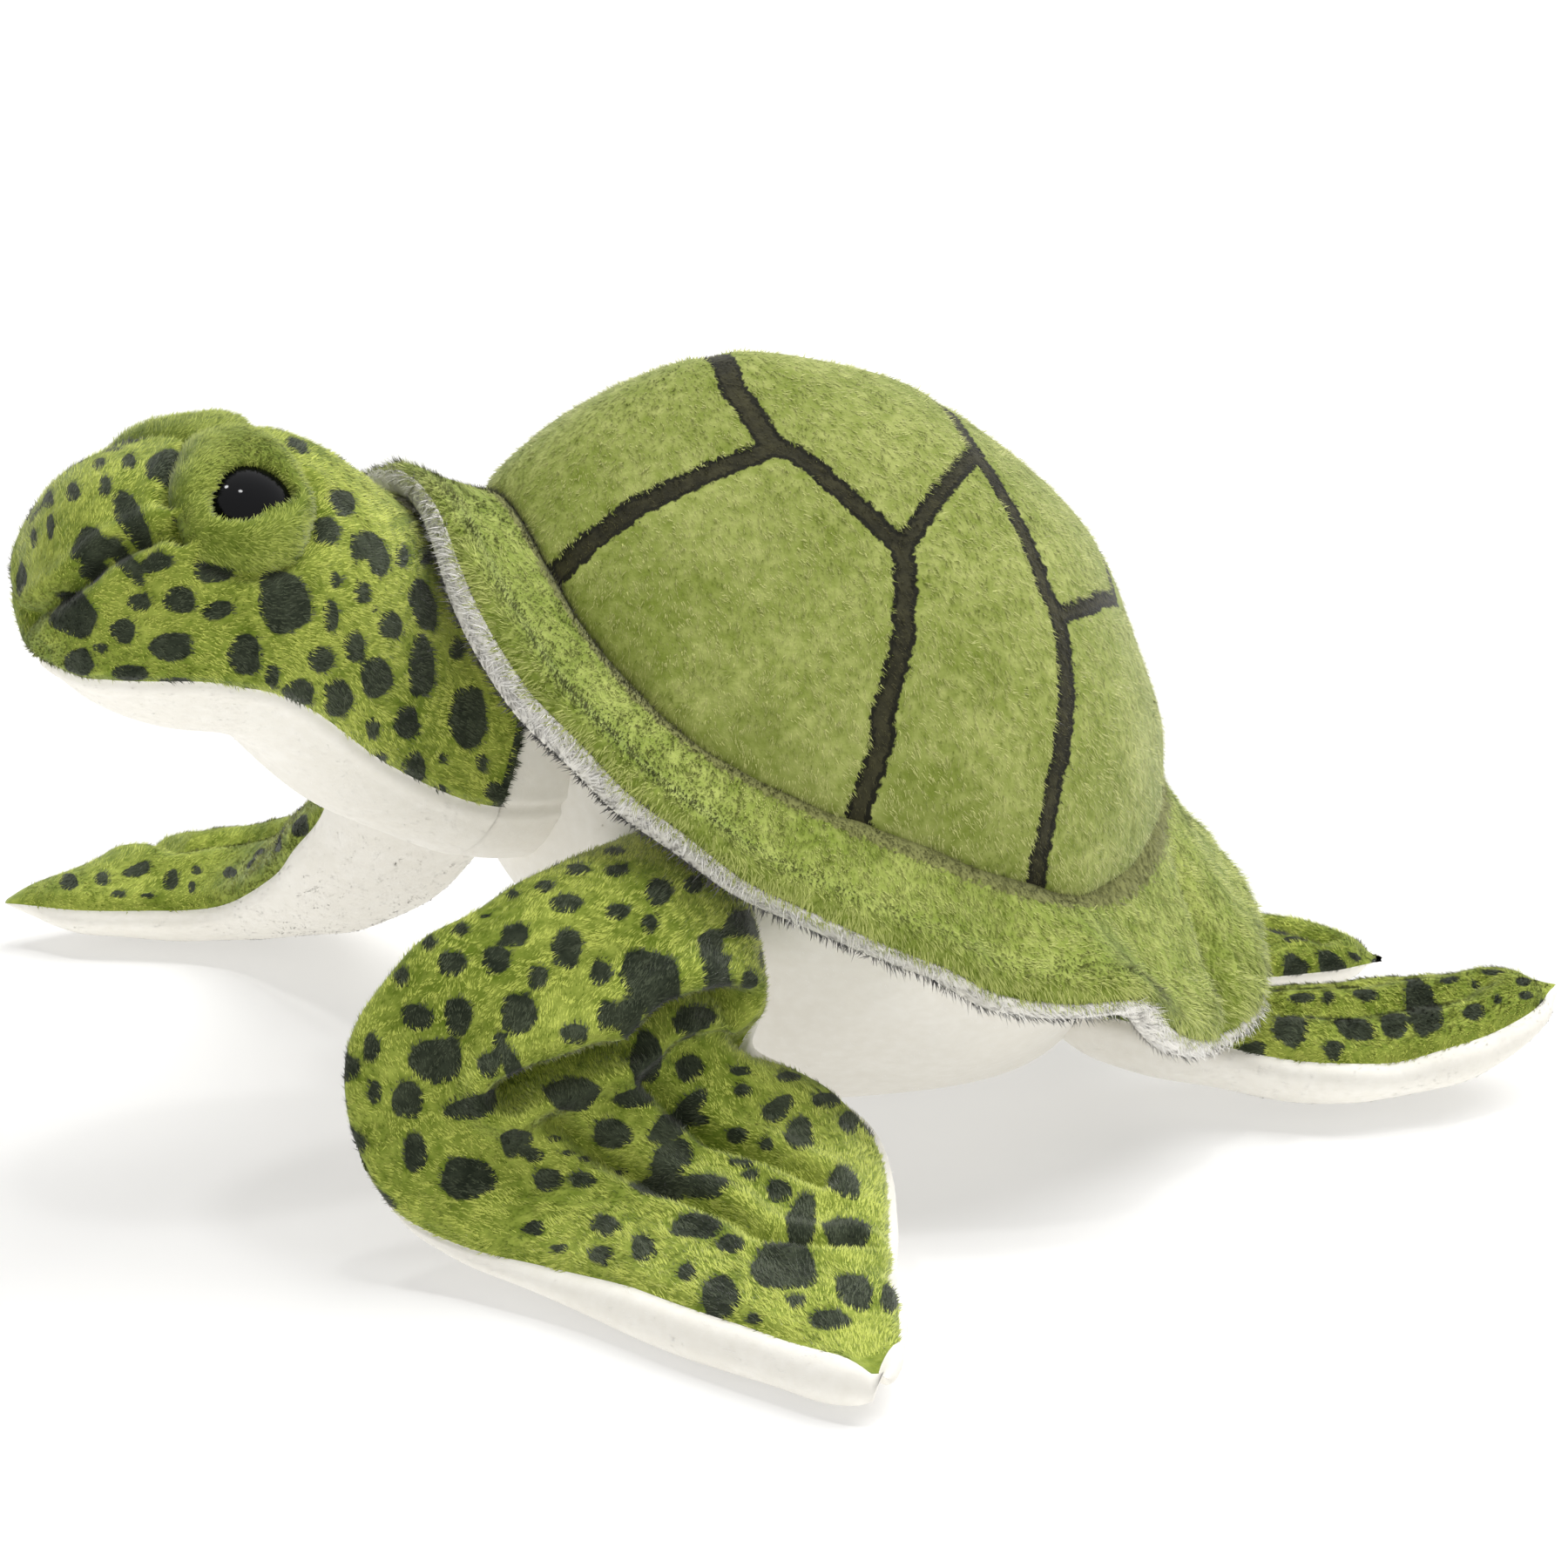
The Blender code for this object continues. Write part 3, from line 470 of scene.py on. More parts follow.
for half_width, reading, crosses_top in strip_readings:
    route = seen_route(dome_places, dome_normals, dome_crop, reading)
    if crosses_top:
        shown_end = dome_plan[seen_index(dome_places, dome_normals, dome_crop, reading[-1:])[0]]
        onward = shown_end * np.stack([np.ones(60), np.linspace(1.0, 0.0, 60)], axis=-1)
        route = np.concatenate([route, on_dome(onward[:, 0], onward[:, 1], -skin_depth)])
    strip_away = nearest(dome_places, both_sides(route)) * 1000.0
    dome_strip = np.minimum(dome_strip, strip_away - half_width + strip_edge)
# Along the seam with the rim the strip colour paints a thin line of shade, where the cloth dips into the seam.
seam_away = dome_rise * 55.0
dome_mark = np.minimum(dome_strip, seam_away - 0.55)
dome_groove = groove_depth / (1.0 + np.exp(dome_strip / groove_edge))
dome_places = dome_places - dome_normals * dome_groove[..., None]
dome_hem = dome_places[:1] - shell_out * 0.0035 - (dome_places[:1] - shell_centre) * 0.03
dome_places = np.concatenate([dome_hem, dome_places])
dome_normals, dome_mark, dome_strip, dome_rise, dome_reach, dome_plan = (
    np.concatenate([grid[:1], grid])
    for grid in (dome_normals, dome_mark, dome_strip, dome_rise, dome_reach, dome_plan))
dome_round = 0.49 * dome_plan / np.maximum(dome_reach, 1e-6)[..., None]
dome_chart = 0.5 + dome_round * (1.0 - dome_rise / (math.pi / 2.0))[..., None]
shell_green = pile_finish("shell green pile", (0.61, 0.645, 0.235), (0.19, 0.245, 0.034),
                          (0.095, 0.090, 0.044), (0.016, 0.016, 0.010), 0.95, 2.0)
dome_nap = np.broadcast_to(shell_back * 0.6 - shell_out * 0.8, dome_places.shape)
dome = sew_panel("shell_dome_cloth", dome_places, dome_normals, dome_nap, dome_chart, dome_mark,
                 np.where(dome_strip < 0.0, 0.0012, 0.0015), True, shell_green, 105000, 0.00030, 0.27, 21)
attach(dome, "shell_and_belly")
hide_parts("carapace_dome", "body_stuffing")

# Rim of the shell: a padded flange sewn round the dome, green pile on top and cream pile
# below, with its edge rolled over a fuller bead. It lifts behind the neck and at the tail.
rim_turns = np.linspace(0.0, 2.0 * math.pi, 420, endpoint=False)
rim_middle_back, rim_more_length = 0.0054, 0.0202
rim_more_width, rim_tail_widening = 0.0120, 0.35
collar_lift, tail_lift = 0.0366, 0.0381
rim_slope, rim_drop = 0.0125, 0.0171
rim_flare = 0.0150
rim_folds = ((64.0, 66.0, 0.0026, 7.0), (55.0, 50.0, -0.0016, 6.5), (28.0, 40.0, -0.0026, 2.0),
             (20.0, 30.0, 0.0018, 5.0), (78.0, 83.0, -0.0014, 4.0), (110.0, 112.0, -0.0007, 5.0),
             (4.0, 8.0, -0.0014, 4.0))


def smooth_between(points, spots):
    """A smooth curve through points, at spots counted from the second of them."""
    low = np.clip(spots.astype(int), 0, len(points) - 4)
    part = (spots - low)[..., None]
    p0, p1, p2, p3 = (points[low + k] for k in range(4))
    return 0.5 * (2 * p1 + (p2 - p0) * part + (2 * p0 - 5 * p1 + 4 * p2 - p3) * part ** 2
                  + (3 * p1 - p0 - 3 * p2 + p3) * part ** 3)


def rim_sections(profile, steps):
    """The rim's places all round, from a profile of shares outward and heights above its sheet."""
    shares = np.array(profile)
    points = np.concatenate([shares[:1] * 2 - shares[1:2], shares, shares[-1:] * 2 - shares[-2:-1]])
    line = smooth_between(points, np.linspace(0.0, len(shares) - 1.0, steps))
    seam = on_dome(np.cos(rim_turns), np.sin(rim_turns))
    cos_turn, sin_turn = np.cos(rim_turns), np.sin(rim_turns)
    length = rim_middle_back + (shell_half_length + rim_more_length) * cos_turn
    width = (shell_half_width + rim_more_width) * (1.0 + rim_tail_widening * cos_turn) * sin_turn
    lift = np.where(cos_turn < 0.0, collar_lift * np.abs(cos_turn) ** 3.6, tail_lift * np.abs(cos_turn) ** 5)
    height = lift - rim_slope * cos_turn - rim_drop
    edge = (shell_centre + shell_back * length[:, None] + shell_left * width[:, None]
            + shell_out * height[:, None])
    outward = unit(edge - seam)
    flare = rim_flare * np.abs(sin_turn) ** 1.1 * np.clip(-cos_turn, 0.0, 1.0)
    degrees = np.degrees(np.abs((rim_turns + math.pi) % (2.0 * math.pi) - math.pi))

    def hump(middle, spread):
        return np.exp(-((degrees - middle) / spread) ** 2)

    collar, cheek, corner = hump(180.0, 27.0), hump(143.0, 20.0), hump(60.0, 15.0)
    tail_corner = hump(25.0, 10.0) * (sin_turn > 0.0)
    far_tail = hump(22.0, 16.0) * (sin_turn < 0.0)
    further = flare + 0.0034 * cheek - 0.0052 * corner + 0.0026 * tail_corner - 0.0030 * far_tail
    lower = 0.0088 * collar - 0.0040 * corner
    edge = edge + outward * further[:, None] - shell_out * lower[:, None]
    along = np.roll(seam, -1, axis=0) - np.roll(seam, 1, axis=0)
    above = unit(np.cross(along, edge - seam))
    above = np.where(np.sum(above * shell_out, axis=-1, keepdims=True) < 0.0, -above, above)
    thick = np.where(line[:, None, 1:] > 0.0, 1.0 - 0.55 * collar[None, :, None], 1.0)
    places = seam[None] + (edge - seam)[None] * line[:, None, :1] + above[None] * line[:, None, 1:] * thick
    waves = ripples(places, 0.060, 31)[..., 0] * 0.0010 + ripples(places, 0.022, 32)[..., 0] * 0.0005
    ruffle = waves * line[:, :1]
    for seam_turn, edge_turn, size, spread in rim_folds:
        for side in (1.0, -1.0):
            crest = np.radians(seam_turn + (edge_turn - seam_turn) * line[:, :1]) * side
            away = (rim_turns[None] - crest + math.pi) % (2.0 * math.pi) - math.pi
            ruffle = ruffle + size * np.exp(-(away / math.radians(spread)) ** 2) * (0.4 + line[:, :1])
    free = np.clip(line[:, :1] * 4.0, 0.0, 1.0)
    return places + above[None] * (ruffle * free)[..., None], line[:, 0], above


def rim_skin(profile, steps, level_row, faces_up):
    """One panel of the rim: places, normals, chart, and how far out each place lies."""
    places, share, above = rim_sections(profile, steps)
    normals = facing(places, True, shell_centre + shell_out * -0.02)
    if (np.sum(normals[level_row] * above) > 0.0) != faces_up:
        normals = -normals
    reach = 0.55 + 0.4 * share[:, None]
    chart = np.stack([0.5 + 0.5 * wave[None] * reach * 0.95 for wave in (np.cos(rim_turns), np.sin(rim_turns))],
                     axis=-1)
    return places, normals, chart, np.broadcast_to(share[:, None], places.shape[:2])


def unmarked(places):
    """The distance to a printed mark for plain cloth, which has none."""
    return np.full(places.shape[:2], 9.0)


# The rim's mark colour, brownish olive, is painted shade: it draws only a band along the seam with the dome, where
# the groove lies in shadow.
rim_green = pile_finish("rim green pile", (0.60, 0.66, 0.20), (0.19, 0.26, 0.030), (0.24, 0.25, 0.085),
                        (0.24, 0.25, 0.085), 0.0, 4.0)
cream_pile = pile_finish("cream pile", (0.93, 0.915, 0.865), (0.83, 0.805, 0.735), sheen=0.08, weight=0.22)
top_places, top_normals, top_chart, top_share = rim_skin(
    [(-0.14, -0.0012), (0.0, 0.0004), (0.12, 0.0010), (0.35, 0.0019), (0.58, 0.0032), (0.76, 0.0054),
     (0.88, 0.0058), (0.960, 0.0042), (0.985, 0.0026), (0.975, 0.0008)], 50, 20, True)
top_outward = np.broadcast_to(unit(top_places[-6] - top_places[0]), top_places.shape)
top_pile = 0.0015 + 0.0010 * np.clip((top_share - 0.6) / 0.3, 0, 1)
# Where the share outward is under about 0.05, next to the seam, the mark colour paints that band of shade.
rim_top = sew_panel("shell_rim_top_cloth", top_places, top_normals, top_outward, top_chart,
                    top_share * 20.0 - 1.0, top_pile, True, rim_green, 88000, 0.00034, 0.34, 41)
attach(rim_top, "shell_and_belly")
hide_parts("carapace_rim_top")

low_places, low_normals, low_chart, low_share = rim_skin(
    [(0.958, 0.0034), (1.000, 0.0038), (1.036, 0.0018), (1.030, -0.0012), (0.96, -0.0025), (0.75, -0.0020),
     (0.4, -0.0014), (-0.05, -0.0012)], 34, 24, False)
low_outward = np.broadcast_to(unit(low_places[0] - low_places[-1]), low_places.shape)
low_pile = 0.0013 + 0.0015 * np.clip((low_share - 0.90) / 0.10, 0, 1)
rim_low = sew_panel("shell_rim_underside_cloth", low_places, low_normals, low_outward, low_chart,
                    unmarked(low_places), low_pile, True, cream_pile, 62000, 0.00034, 0.16, 42, pale=True)
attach(rim_low, "shell_and_belly")
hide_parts("carapace_rim_underside")

# Belly: a bowl of cream pile cloth that closes the body under the rim, filled loosely, so
# that it sags to a flat where the turtle rests.
belly_falls = np.linspace(0.0, math.pi / 2.0, 80)
belly_turn, belly_fall = np.meshgrid(dome_turns[::2], belly_falls)
belly_seam = on_dome(np.cos(belly_turn), np.sin(belly_turn), -0.0015) - shell_out * 0.0034
belly_middle = np.array((0.016, 0.0, 0.0006))
belly_rest_half_length, belly_rest_half_width = 0.0335, 0.0115
belly_flat = np.stack([belly_middle[0] + belly_rest_half_length * np.cos(belly_turn),
                       -belly_rest_half_width * np.sin(belly_turn),
                       np.full(belly_turn.shape, belly_middle[2])], axis=-1)
belly_side = np.cos(belly_fall)[..., None] ** 1.2
belly_places = belly_flat + (belly_seam - belly_flat) * belly_side
belly_drop = (belly_flat[..., 2] - belly_seam[..., 2]) * np.sin(belly_fall) ** 1.35
belly_places[..., 2] = belly_seam[..., 2] + belly_drop
belly_core = [belly_middle + (belly_places[-1] - belly_middle) * share for share in (0.66, 0.33, 0.0)]
belly_places = np.concatenate([belly_places, np.stack(belly_core)])
belly_normals = facing(belly_places, True, shell_centre)
belly_lumps = ripples(belly_places, 0.035, 51)[..., 0] * 0.0007 * np.clip(belly_places[..., 2] / 0.02, 0, 1)
breast_turn = np.degrees(np.arctan2(belly_places[..., 1], -(belly_places[..., 0] + 0.01)))
breast = np.exp(-(breast_turn / 48.0) ** 2 - ((belly_places[..., 2] - 0.058) / 0.024) ** 2)
belly_lumps = belly_lumps + 0.0095 * breast
belly_places = belly_places + belly_normals * belly_lumps[..., None]
belly_normals = facing(belly_places, True, shell_centre)
belly_reach = np.linspace(0.48, 0.0, belly_places.shape[0])[:, None]
belly_chart = np.stack([0.5 + belly_reach * wave[None]
                        for wave in (np.cos(dome_turns[::2]), np.sin(dome_turns[::2]))], axis=-1)
belly = sew_panel("belly_cloth", belly_places, belly_normals,
                  np.broadcast_to(np.array((1.0, 0.0, -0.3)), belly_places.shape), belly_chart,
                  unmarked(belly_places), np.full(belly_places.shape[:2], 0.0009), True,
                  cream_pile, 34000, 0.00032, 0.12, 52, pale=True)
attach(belly, "shell_and_belly")
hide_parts("belly_panel")

# Head and neck: a tube of cloth from the neck's root to a blunt beak, in spotted green
# pile over the top and sides, with cream pile under the chin and throat, stuffed firmly.
neck_root = np.array((-0.052, 0.0, 0.081))
neck_ball = 0.029
head_length, head_height, head_width = 0.0925, 0.057, 0.066
head_shares = [
    (0.173, 0.015, 0.460, 0.400),
    (0.314, 0.150, 0.480, 0.400),
    (0.454, 0.375, 0.515, 0.474),
    (0.605, 0.505, 0.495, 0.500),
    (0.757, 0.535, 0.462, 0.450),
    (0.886, 0.465, 0.375, 0.350),
    (0.968, 0.400, 0.230, 0.230),
]


def limb_lines(rows, tip):
    """Middle, across and upward lines of a limb, rounded off to its tip, for any place along."""
    lines = []
    for which in range(3):
        points = np.array([row[which] for row in rows])
        end = tip if which == 0 else np.zeros(3)
        ahead = np.concatenate([points[1:], end[None]])
        behind = np.concatenate([points[:1], points[:-1]])
        soft = (behind + 6.0 * points + ahead) / 8.0
        soft[0] = points[0]
        between = (points + ahead) / 2.0
        line = np.stack([soft, between], axis=1).reshape(-1, 3)
        ghost = line[-1] if which == 0 else -line[-1]
        lines.append(np.concatenate([2 * line[:1] - line[1:2], line, end[None], ghost[None]]))
    return lines


def along_limb(lines, shares):
    """The three lines at shares of the limb's length, from 0 at its root to 1 at its tip."""
    spots = np.clip(shares, 0.0, 1.0) * (len(lines[0]) - 3)
    return [smooth_between(line, spots) for line in lines]


def limb_rows(middles, acrosses, half_widths, half_heights, top, ahead_first=None):
    """Rows of a limb as middle, across and upward vectors, with the back of its ball first."""
    rows = []
    for i, middle in enumerate(middles):
        before, after = middles[max(i - 1, 0)], middles[min(i + 1, len(middles) - 1)]
        ahead = unit(after - before) if i or ahead_first is None else ahead_first
        normal = unit(np.cross(acrosses[i], ahead))
        if normal @ top < 0.0:
            normal = -normal
        rows.append((middle, acrosses[i] * half_widths[i], normal * half_heights[i], ahead))
    middle, across, normal, ahead = rows[0]
    half = math.cos(math.radians(45))
    radius = half_widths[0]
    rows.insert(0, (middle - ahead * half * radius, across * half, normal * half, ahead))
    return rows


def limb_skin(lines, shares, turns, inset):
    """Places on a limb: shares along it and turns round it, from its across line."""
    middle, across, upward = along_limb(lines, shares)
    size_across = np.linalg.norm(across, axis=-1, keepdims=True)
    size_up = np.linalg.norm(upward, axis=-1, keepdims=True)
    across = across * np.clip(1.0 - inset / np.maximum(size_across, 1e-6), 0.3, 1.0)
    upward = upward * np.clip(1.0 - inset / np.maximum(size_up, 1e-6), 0.3, 1.0)
    return middle + across * np.cos(turns)[..., None] + upward * np.sin(turns)[..., None]


head_across = np.array((0.0, -1.0, 0.0))
head_middles = [neck_root] + [neck_root + np.array((-forward * head_length, 0.0, rise * head_height))
                              for forward, rise, _, _ in head_shares]
head_rows = limb_rows(head_middles, [head_across] * 8,
                      [neck_ball] + [share[3] * head_width for share in head_shares],
                      [neck_ball] + [share[2] * head_height for share in head_shares],
                      np.array((0.0, 0.0, 1.0)))
nose = neck_root + np.array((-head_length, 0.0, 0.365 * head_height))
head_lines = limb_lines(head_rows, nose)
spotted_green = pile_finish("spotted green pile", (0.60, 0.67, 0.135), (0.125, 0.185, 0.014),
                            (0.085, 0.102, 0.062), (0.014, 0.020, 0.011), 0.0, 0.7)


def two_panels(lines, row_count, columns, seam_low, seam_high, inset, end=1.0):
    """A limb's skin as one closed grid: first the top panel's columns, then the other panel's.

    seam_low and seam_high give the turn of each seam, in degrees, for each row of the grid,
    and end is the share of the limb at which its last row is drawn together."""
    shares = np.append(np.linspace(0.0, end, row_count - 1), end)
    low, high = np.radians(seam_low(shares))[:, None], np.radians(seam_high(shares))[:, None]
    part = np.linspace(0.0, 1.0, columns)[None]
    turns = np.concatenate([low + (high - low) * part,
                            high + (low + 2.0 * math.pi - high) * part[:, 1:-1]], axis=1)
    share_grid = np.broadcast_to(shares[:, None], turns.shape)
    places = limb_skin(lines, share_grid, turns, inset)
    places[-1] = places[-2].mean(axis=0)
    return places, share_grid, turns


def press(places, normals, routes):
    """Sink the skin along sewn lines, and puff it beside them: route, depth and width of each."""
    for route, depth, width in routes:
        away = nearest(places, route) / width
        sunk = depth * (np.exp(-away ** 2) - 0.45 * np.exp(-((away - 2.4) / 1.3) ** 2))
        places = places - normals * sunk[..., None]
    return places


def swell(places, normals, share_grid, turns, bulges):
    """Push the skin out in round patches: share and turn, their spreads, and how far."""
    degrees = (np.degrees(turns) + 180.0) % 360.0 - 180.0
    for share, turn, share_spread, turn_spread, push in bulges:
        away = (degrees - turn + 180.0) % 360.0 - 180.0
        bump = np.exp(-((share_grid - share) / share_spread) ** 2 - (away / turn_spread) ** 2)
        places = places + normals * (push * bump)[..., None]
    return places


def route_on(lines, stops, inset=0.0):
    """Closely spaced places on a limb along stops of share and turn in degrees."""
    stops = np.array(stops)
    steps = np.linspace(0.0, len(stops) - 1.0, (len(stops) - 1) * 14 + 1)
    shares = np.interp(steps, np.arange(len(stops)), stops[:, 0])
    turns = np.radians(np.interp(steps, np.arange(len(stops)), stops[:, 1]))
    return limb_skin(lines, shares, turns, inset)


def spot_edges(places, normals, share_grid, spots, seed, extra=0, sizes=(1.2, 3.4), low_share=0.0):
    """Millimetres from each place to the edge of the nearest spot.

    Besides the given spots, extra ones are scattered over the cloth that the photo doesn't show,
    between low_share and high_share of the limb's length."""
    high_share = 0.9
    rng = np.random.default_rng(seed)
    edges = np.full(share_grid.shape, 9.0)

    def add(middle, out, long_way, half_long, half_short):
        short_way = np.cross(out, long_way)
        away = (places - middle) * 1000.0
        u, v, w = away @ long_way / half_long, away @ short_way / half_short, away @ out / (half_long * 1.3)
        lobes = 1.0 + 0.05 * np.sin(3.0 * np.arctan2(v, u) + rng.uniform(0.0, 6.28)) \
            + 0.03 * np.sin(5.0 * np.arctan2(v, u) + rng.uniform(0.0, 6.28))
        size = (np.abs(u) ** 2.3 + np.abs(v) ** 2.3 + np.abs(w) ** 2.3) ** (1.0 / 2.3)
        np.minimum(edges, (size * lobes - 1.0) * math.sqrt(half_long * half_short), out=edges)

    for middle, long_way, half_long, half_short in spots:
        index = np.unravel_index(np.argmin(np.sum((places - middle) ** 2, axis=-1)), share_grid.shape)
        out = normals[index]
        add(middle, out, unit(long_way - out * (long_way @ out)), half_long, half_short)
    hidden = np.sum(normals * (np.array(camera.location) - places), axis=-1) < 0.0
    scattered = hidden & (share_grid > low_share) & (share_grid < high_share)
    for _ in range(extra):
        index = (rng.integers(0, share_grid.shape[0]), rng.integers(0, share_grid.shape[1]))
        half_long = rng.uniform(*sizes)
        half_short = half_long * rng.uniform(0.55, 0.95)
        out = normals[index]
        long_way = unit(np.cross(out, rng.normal(size=3)))
        if edges[index] > half_long + 0.9 and scattered[index]:
            add(places[index], out, long_way, half_long, half_short)
    return edges


def cloth_of_limb(name, body, nodes, places, normals, share_grid, columns, mark, material, slot,
                  blades, pile_length, seed, bare=0.10, tip_bare=2.0, stand=0.32, fill=0.6):
    """One panel of a limb, cut from the closed grid of its skin, with pile between two shares of it."""
    first, own_normals, share = places[:, columns], normals[:, columns], share_grid[:, columns]
    nap = -np.gradient(first, axis=0)
    across = np.broadcast_to(np.linspace(0.01, 0.99, first.shape[1]), share.shape)
    chart = np.stack([across, 0.01 + 0.98 * share], axis=-1)
    length = np.where((share > bare) & (share < tip_bare), pile_length, 0.0)
    panel = sew_panel(name, first, own_normals, nap, chart, mark[:, columns], length, False, material,
                      blades, 0.00030, stand, seed, pale=slot == "cream_pile")
    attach(panel, body)
    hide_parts(*nodes)
    return panel


head_columns = 200
throat_seam_turns = ((0.0, 0.24, 0.40, 0.60, 0.77, 0.85, 1.0), (-27, -27, -25, -27, -21, -18, -22))
head_places, head_share, head_turn = two_panels(
    head_lines, 190, head_columns,
    lambda share: np.interp(share, *throat_seam_turns),
    lambda share: 180.0 - np.interp(share, *throat_seam_turns), skin_depth)
head_inside = along_limb(head_lines, head_share)[0]
head_normals = facing(head_places, True, head_inside)
head_places = head_places + head_normals * (ripples(head_places, 0.030, 61)[..., 0] * 0.0004)[..., None]
head_bulges = [(0.72, 90.0, 0.085, 50.0, 0.0032), (0.55, 90.0, 0.07, 48.0, 0.0028),
               (0.48, -90.0, 0.15, 50.0, -0.0040), (0.27, 90.0, 0.08, 45.0, -0.0018)]
head_places = swell(head_places, head_normals, head_share, head_turn, head_bulges)
head_facing = facing(head_places, True, head_inside)
head_crop = (0.0, 460.0, 2.449)
beak_reading = [(500, 370), (430, 385), (370, 400), (300, 440), (230, 500), (180, 540), (120, 580), (75, 610)]
brow_reading = [(535, 110), (505, 180), (480, 240), (470, 300), (490, 350), (500, 372)]
patch_reading = [(540, 110), (505, 180), (480, 240), (475, 300), (500, 370), (530, 420), (600, 465), (680, 485),
                 (760, 485), (820, 455), (860, 400), (875, 340), (850, 230), (830, 180), (790, 130), (740, 95),
                 (650, 80), (580, 90)]
beak_route, brow_route, patch_route = (
    both_sides(seen_route(head_places, head_facing, head_crop, reading))
    for reading in (beak_reading, brow_reading, patch_reading[4:13]))
throat_seam = np.concatenate([head_places[20:, 0], head_places[20:, head_columns - 1]])
head_places = press(head_places, head_normals, [
    (beak_route, 0.0025, 0.0015), (brow_route, 0.0016, 0.0014), (patch_route, 0.0016, 0.0015),
    (throat_seam, 0.0006, 0.0010)])
head_normals = facing(head_places, True, head_inside)
head_spot_readings = [
    (475, 175, 48, 58, 0), (360, 320, 62, 40, -60), (240, 410, 55, 60, 0), (195, 255, 22, 30, 0),
    (285, 240, 20, 35, 0), (360, 170, 22, 40, 0), (270, 175, 20, 30, 0), (140, 350, 12, 40, 0),
    (90, 390, 10, 30, 0), (60, 500, 18, 50, 0), (130, 270, 18, 28, 0), (185, 590, 62, 72, 0),
    (265, 485, 45, 36, 0), (345, 445, 32, 24, 0), (435, 460, 50, 28, 15), (390, 575, 35, 28, 0),
    (505, 560, 48, 42, 0), (610, 590, 50, 28, 15), (600, 480, 60, 25, -15), (345, 650, 38, 38, 0),
    (480, 695, 65, 43, 5), (280, 700, 20, 15, 0), (220, 740, 45, 42, 0), (360, 775, 55, 26, 0),
    (495, 795, 48, 20, 0), (685, 715, 50, 62, 0), (795, 570, 76, 92, 0), (765, 775, 22, 35, 0),
    (700, 820, 20, 18, 0), (840, 830, 48, 40, 0), (900, 735, 40, 38, 0), (915, 360, 40, 45, 0),
    (955, 280, 48, 38, -40), (930, 605, 25, 50, 0), (1000, 410, 18, 45, 0), (950, 500, 18, 28, 0),
    (1020, 535, 24, 38, 0), (1060, 420, 75, 36, -65), (1050, 585, 10, 12, 0), (1100, 630, 38, 42, 0),
    (1000, 695, 32, 48, 0), (1060, 780, 48, 62, 0), (950, 835, 45, 58, 0), (1185, 740, 40, 95, 0),
    (1190, 570, 38, 80, 15), (1045, 915, 22, 30, 0), (1140, 905, 38, 52, 0), (1320, 890, 58, 95, 0),
    (1070, 1005, 20, 16, 0), (1160, 1040, 38, 42, 0), (1240, 1005, 14, 16, 0), (1235, 1095, 20, 24, 0),
    (1355, 1025, 18, 28, 0), (1400, 1100, 45, 32, 0), (1285, 690, 22, 35, 0), (1135, 430, 20, 38, 0),
    (1200, 430, 20, 28, 0), (830, 125, 38, 20, -30),
]
head_spots = seen_spots(head_places, head_normals, head_crop, head_spot_readings)
head_spots += [(middle * far_side, long_way * far_side, half_long, half_short)
               for middle, long_way, half_long, half_short in head_spots if middle[1] < -0.004]
head_mark = spot_edges(head_places, head_normals, head_share, head_spots, 67, 500, (1.4, 3.8))
# Along the sewn beak and brow lines the dark spot colour paints the shade that falls in their creases.
crease_shade_half_width = 0.80
head_sewn = np.minimum(nearest(head_places, beak_route), nearest(head_places, brow_route)) * 1000.0
head_mark = np.minimum(head_mark, head_sewn - crease_shade_half_width)
neck_end = 0.192
neck_rows = int(np.searchsorted(head_share[:, 0], neck_end))
# The head cover's last rows at the neck, where it goes in under the collar, are drawn in the dark spot colour:
# painted shade.
head_mark = np.minimum(head_mark, (head_share - neck_end) * 150.0 - 2.2)
head_grids = [grid[neck_rows:] for grid in (head_places, head_normals, head_share)]
cloth_of_limb("head_cover_cloth", "head", ("head_cover", "head_stuffing"), *head_grids, slice(0, head_columns),
              head_mark[neck_rows:], spotted_green, "spotted_green_pile", 84000, 0.0014, 62, fill=0.9)
throat_columns = np.r_[head_columns - 1:head_places.shape[1], 0]
cloth_of_limb("throat_cloth", "head", ("throat_panel",), *head_grids, throat_columns, unmarked(head_grids[0]),
              cream_pile, "cream_pile", 22000, 0.0009, 63, stand=0.12, fill=0.9)

# Neck: a short sleeve of cream pile cloth that joins the head to the body, inside the collar.
neck_places, neck_normals, neck_share = (
    grid[:neck_rows + 1] for grid in (head_places, head_normals, head_share))
cloth_of_limb("neck_cloth", "head", ("neck_wad",), neck_places - neck_normals * 0.0004, neck_normals, neck_share,
              np.r_[0:head_places.shape[1], 0], unmarked(neck_places), cream_pile, "cream_pile", 12000, 0.0008, 64,
              stand=0.10, fill=0.8)

# Eye patches: a pad of plain green pile over each side of the brow, with a hole whose
# edges make the lids. The eye is a black domed button, set in the hole from behind.
lid_green = pile_finish("plain green pile", (0.44, 0.51, 0.105), (0.11, 0.16, 0.014))


def plastic(name, colour, grain, detail, dullest, glossiest, shine):
    """A moulded plastic whose roughness varies a little from place to place."""
    material, tree, shader = new_material(name)
    place = add_node(tree, "TexCoord").outputs["Object"]
    dust = add_node(tree, "TexNoise", {"Vector": place, "Scale": grain, "Detail": detail})
    polish = add_node(tree, "MapRange", {"Value": dust.outputs["Fac"], "To Min": glossiest, "To Max": dullest})
    feed(tree, shader, {"Roughness": polish.outputs["Result"], "Base Color": (*colour, 1.0),
                        "Specular IOR Level": shine})
    return material


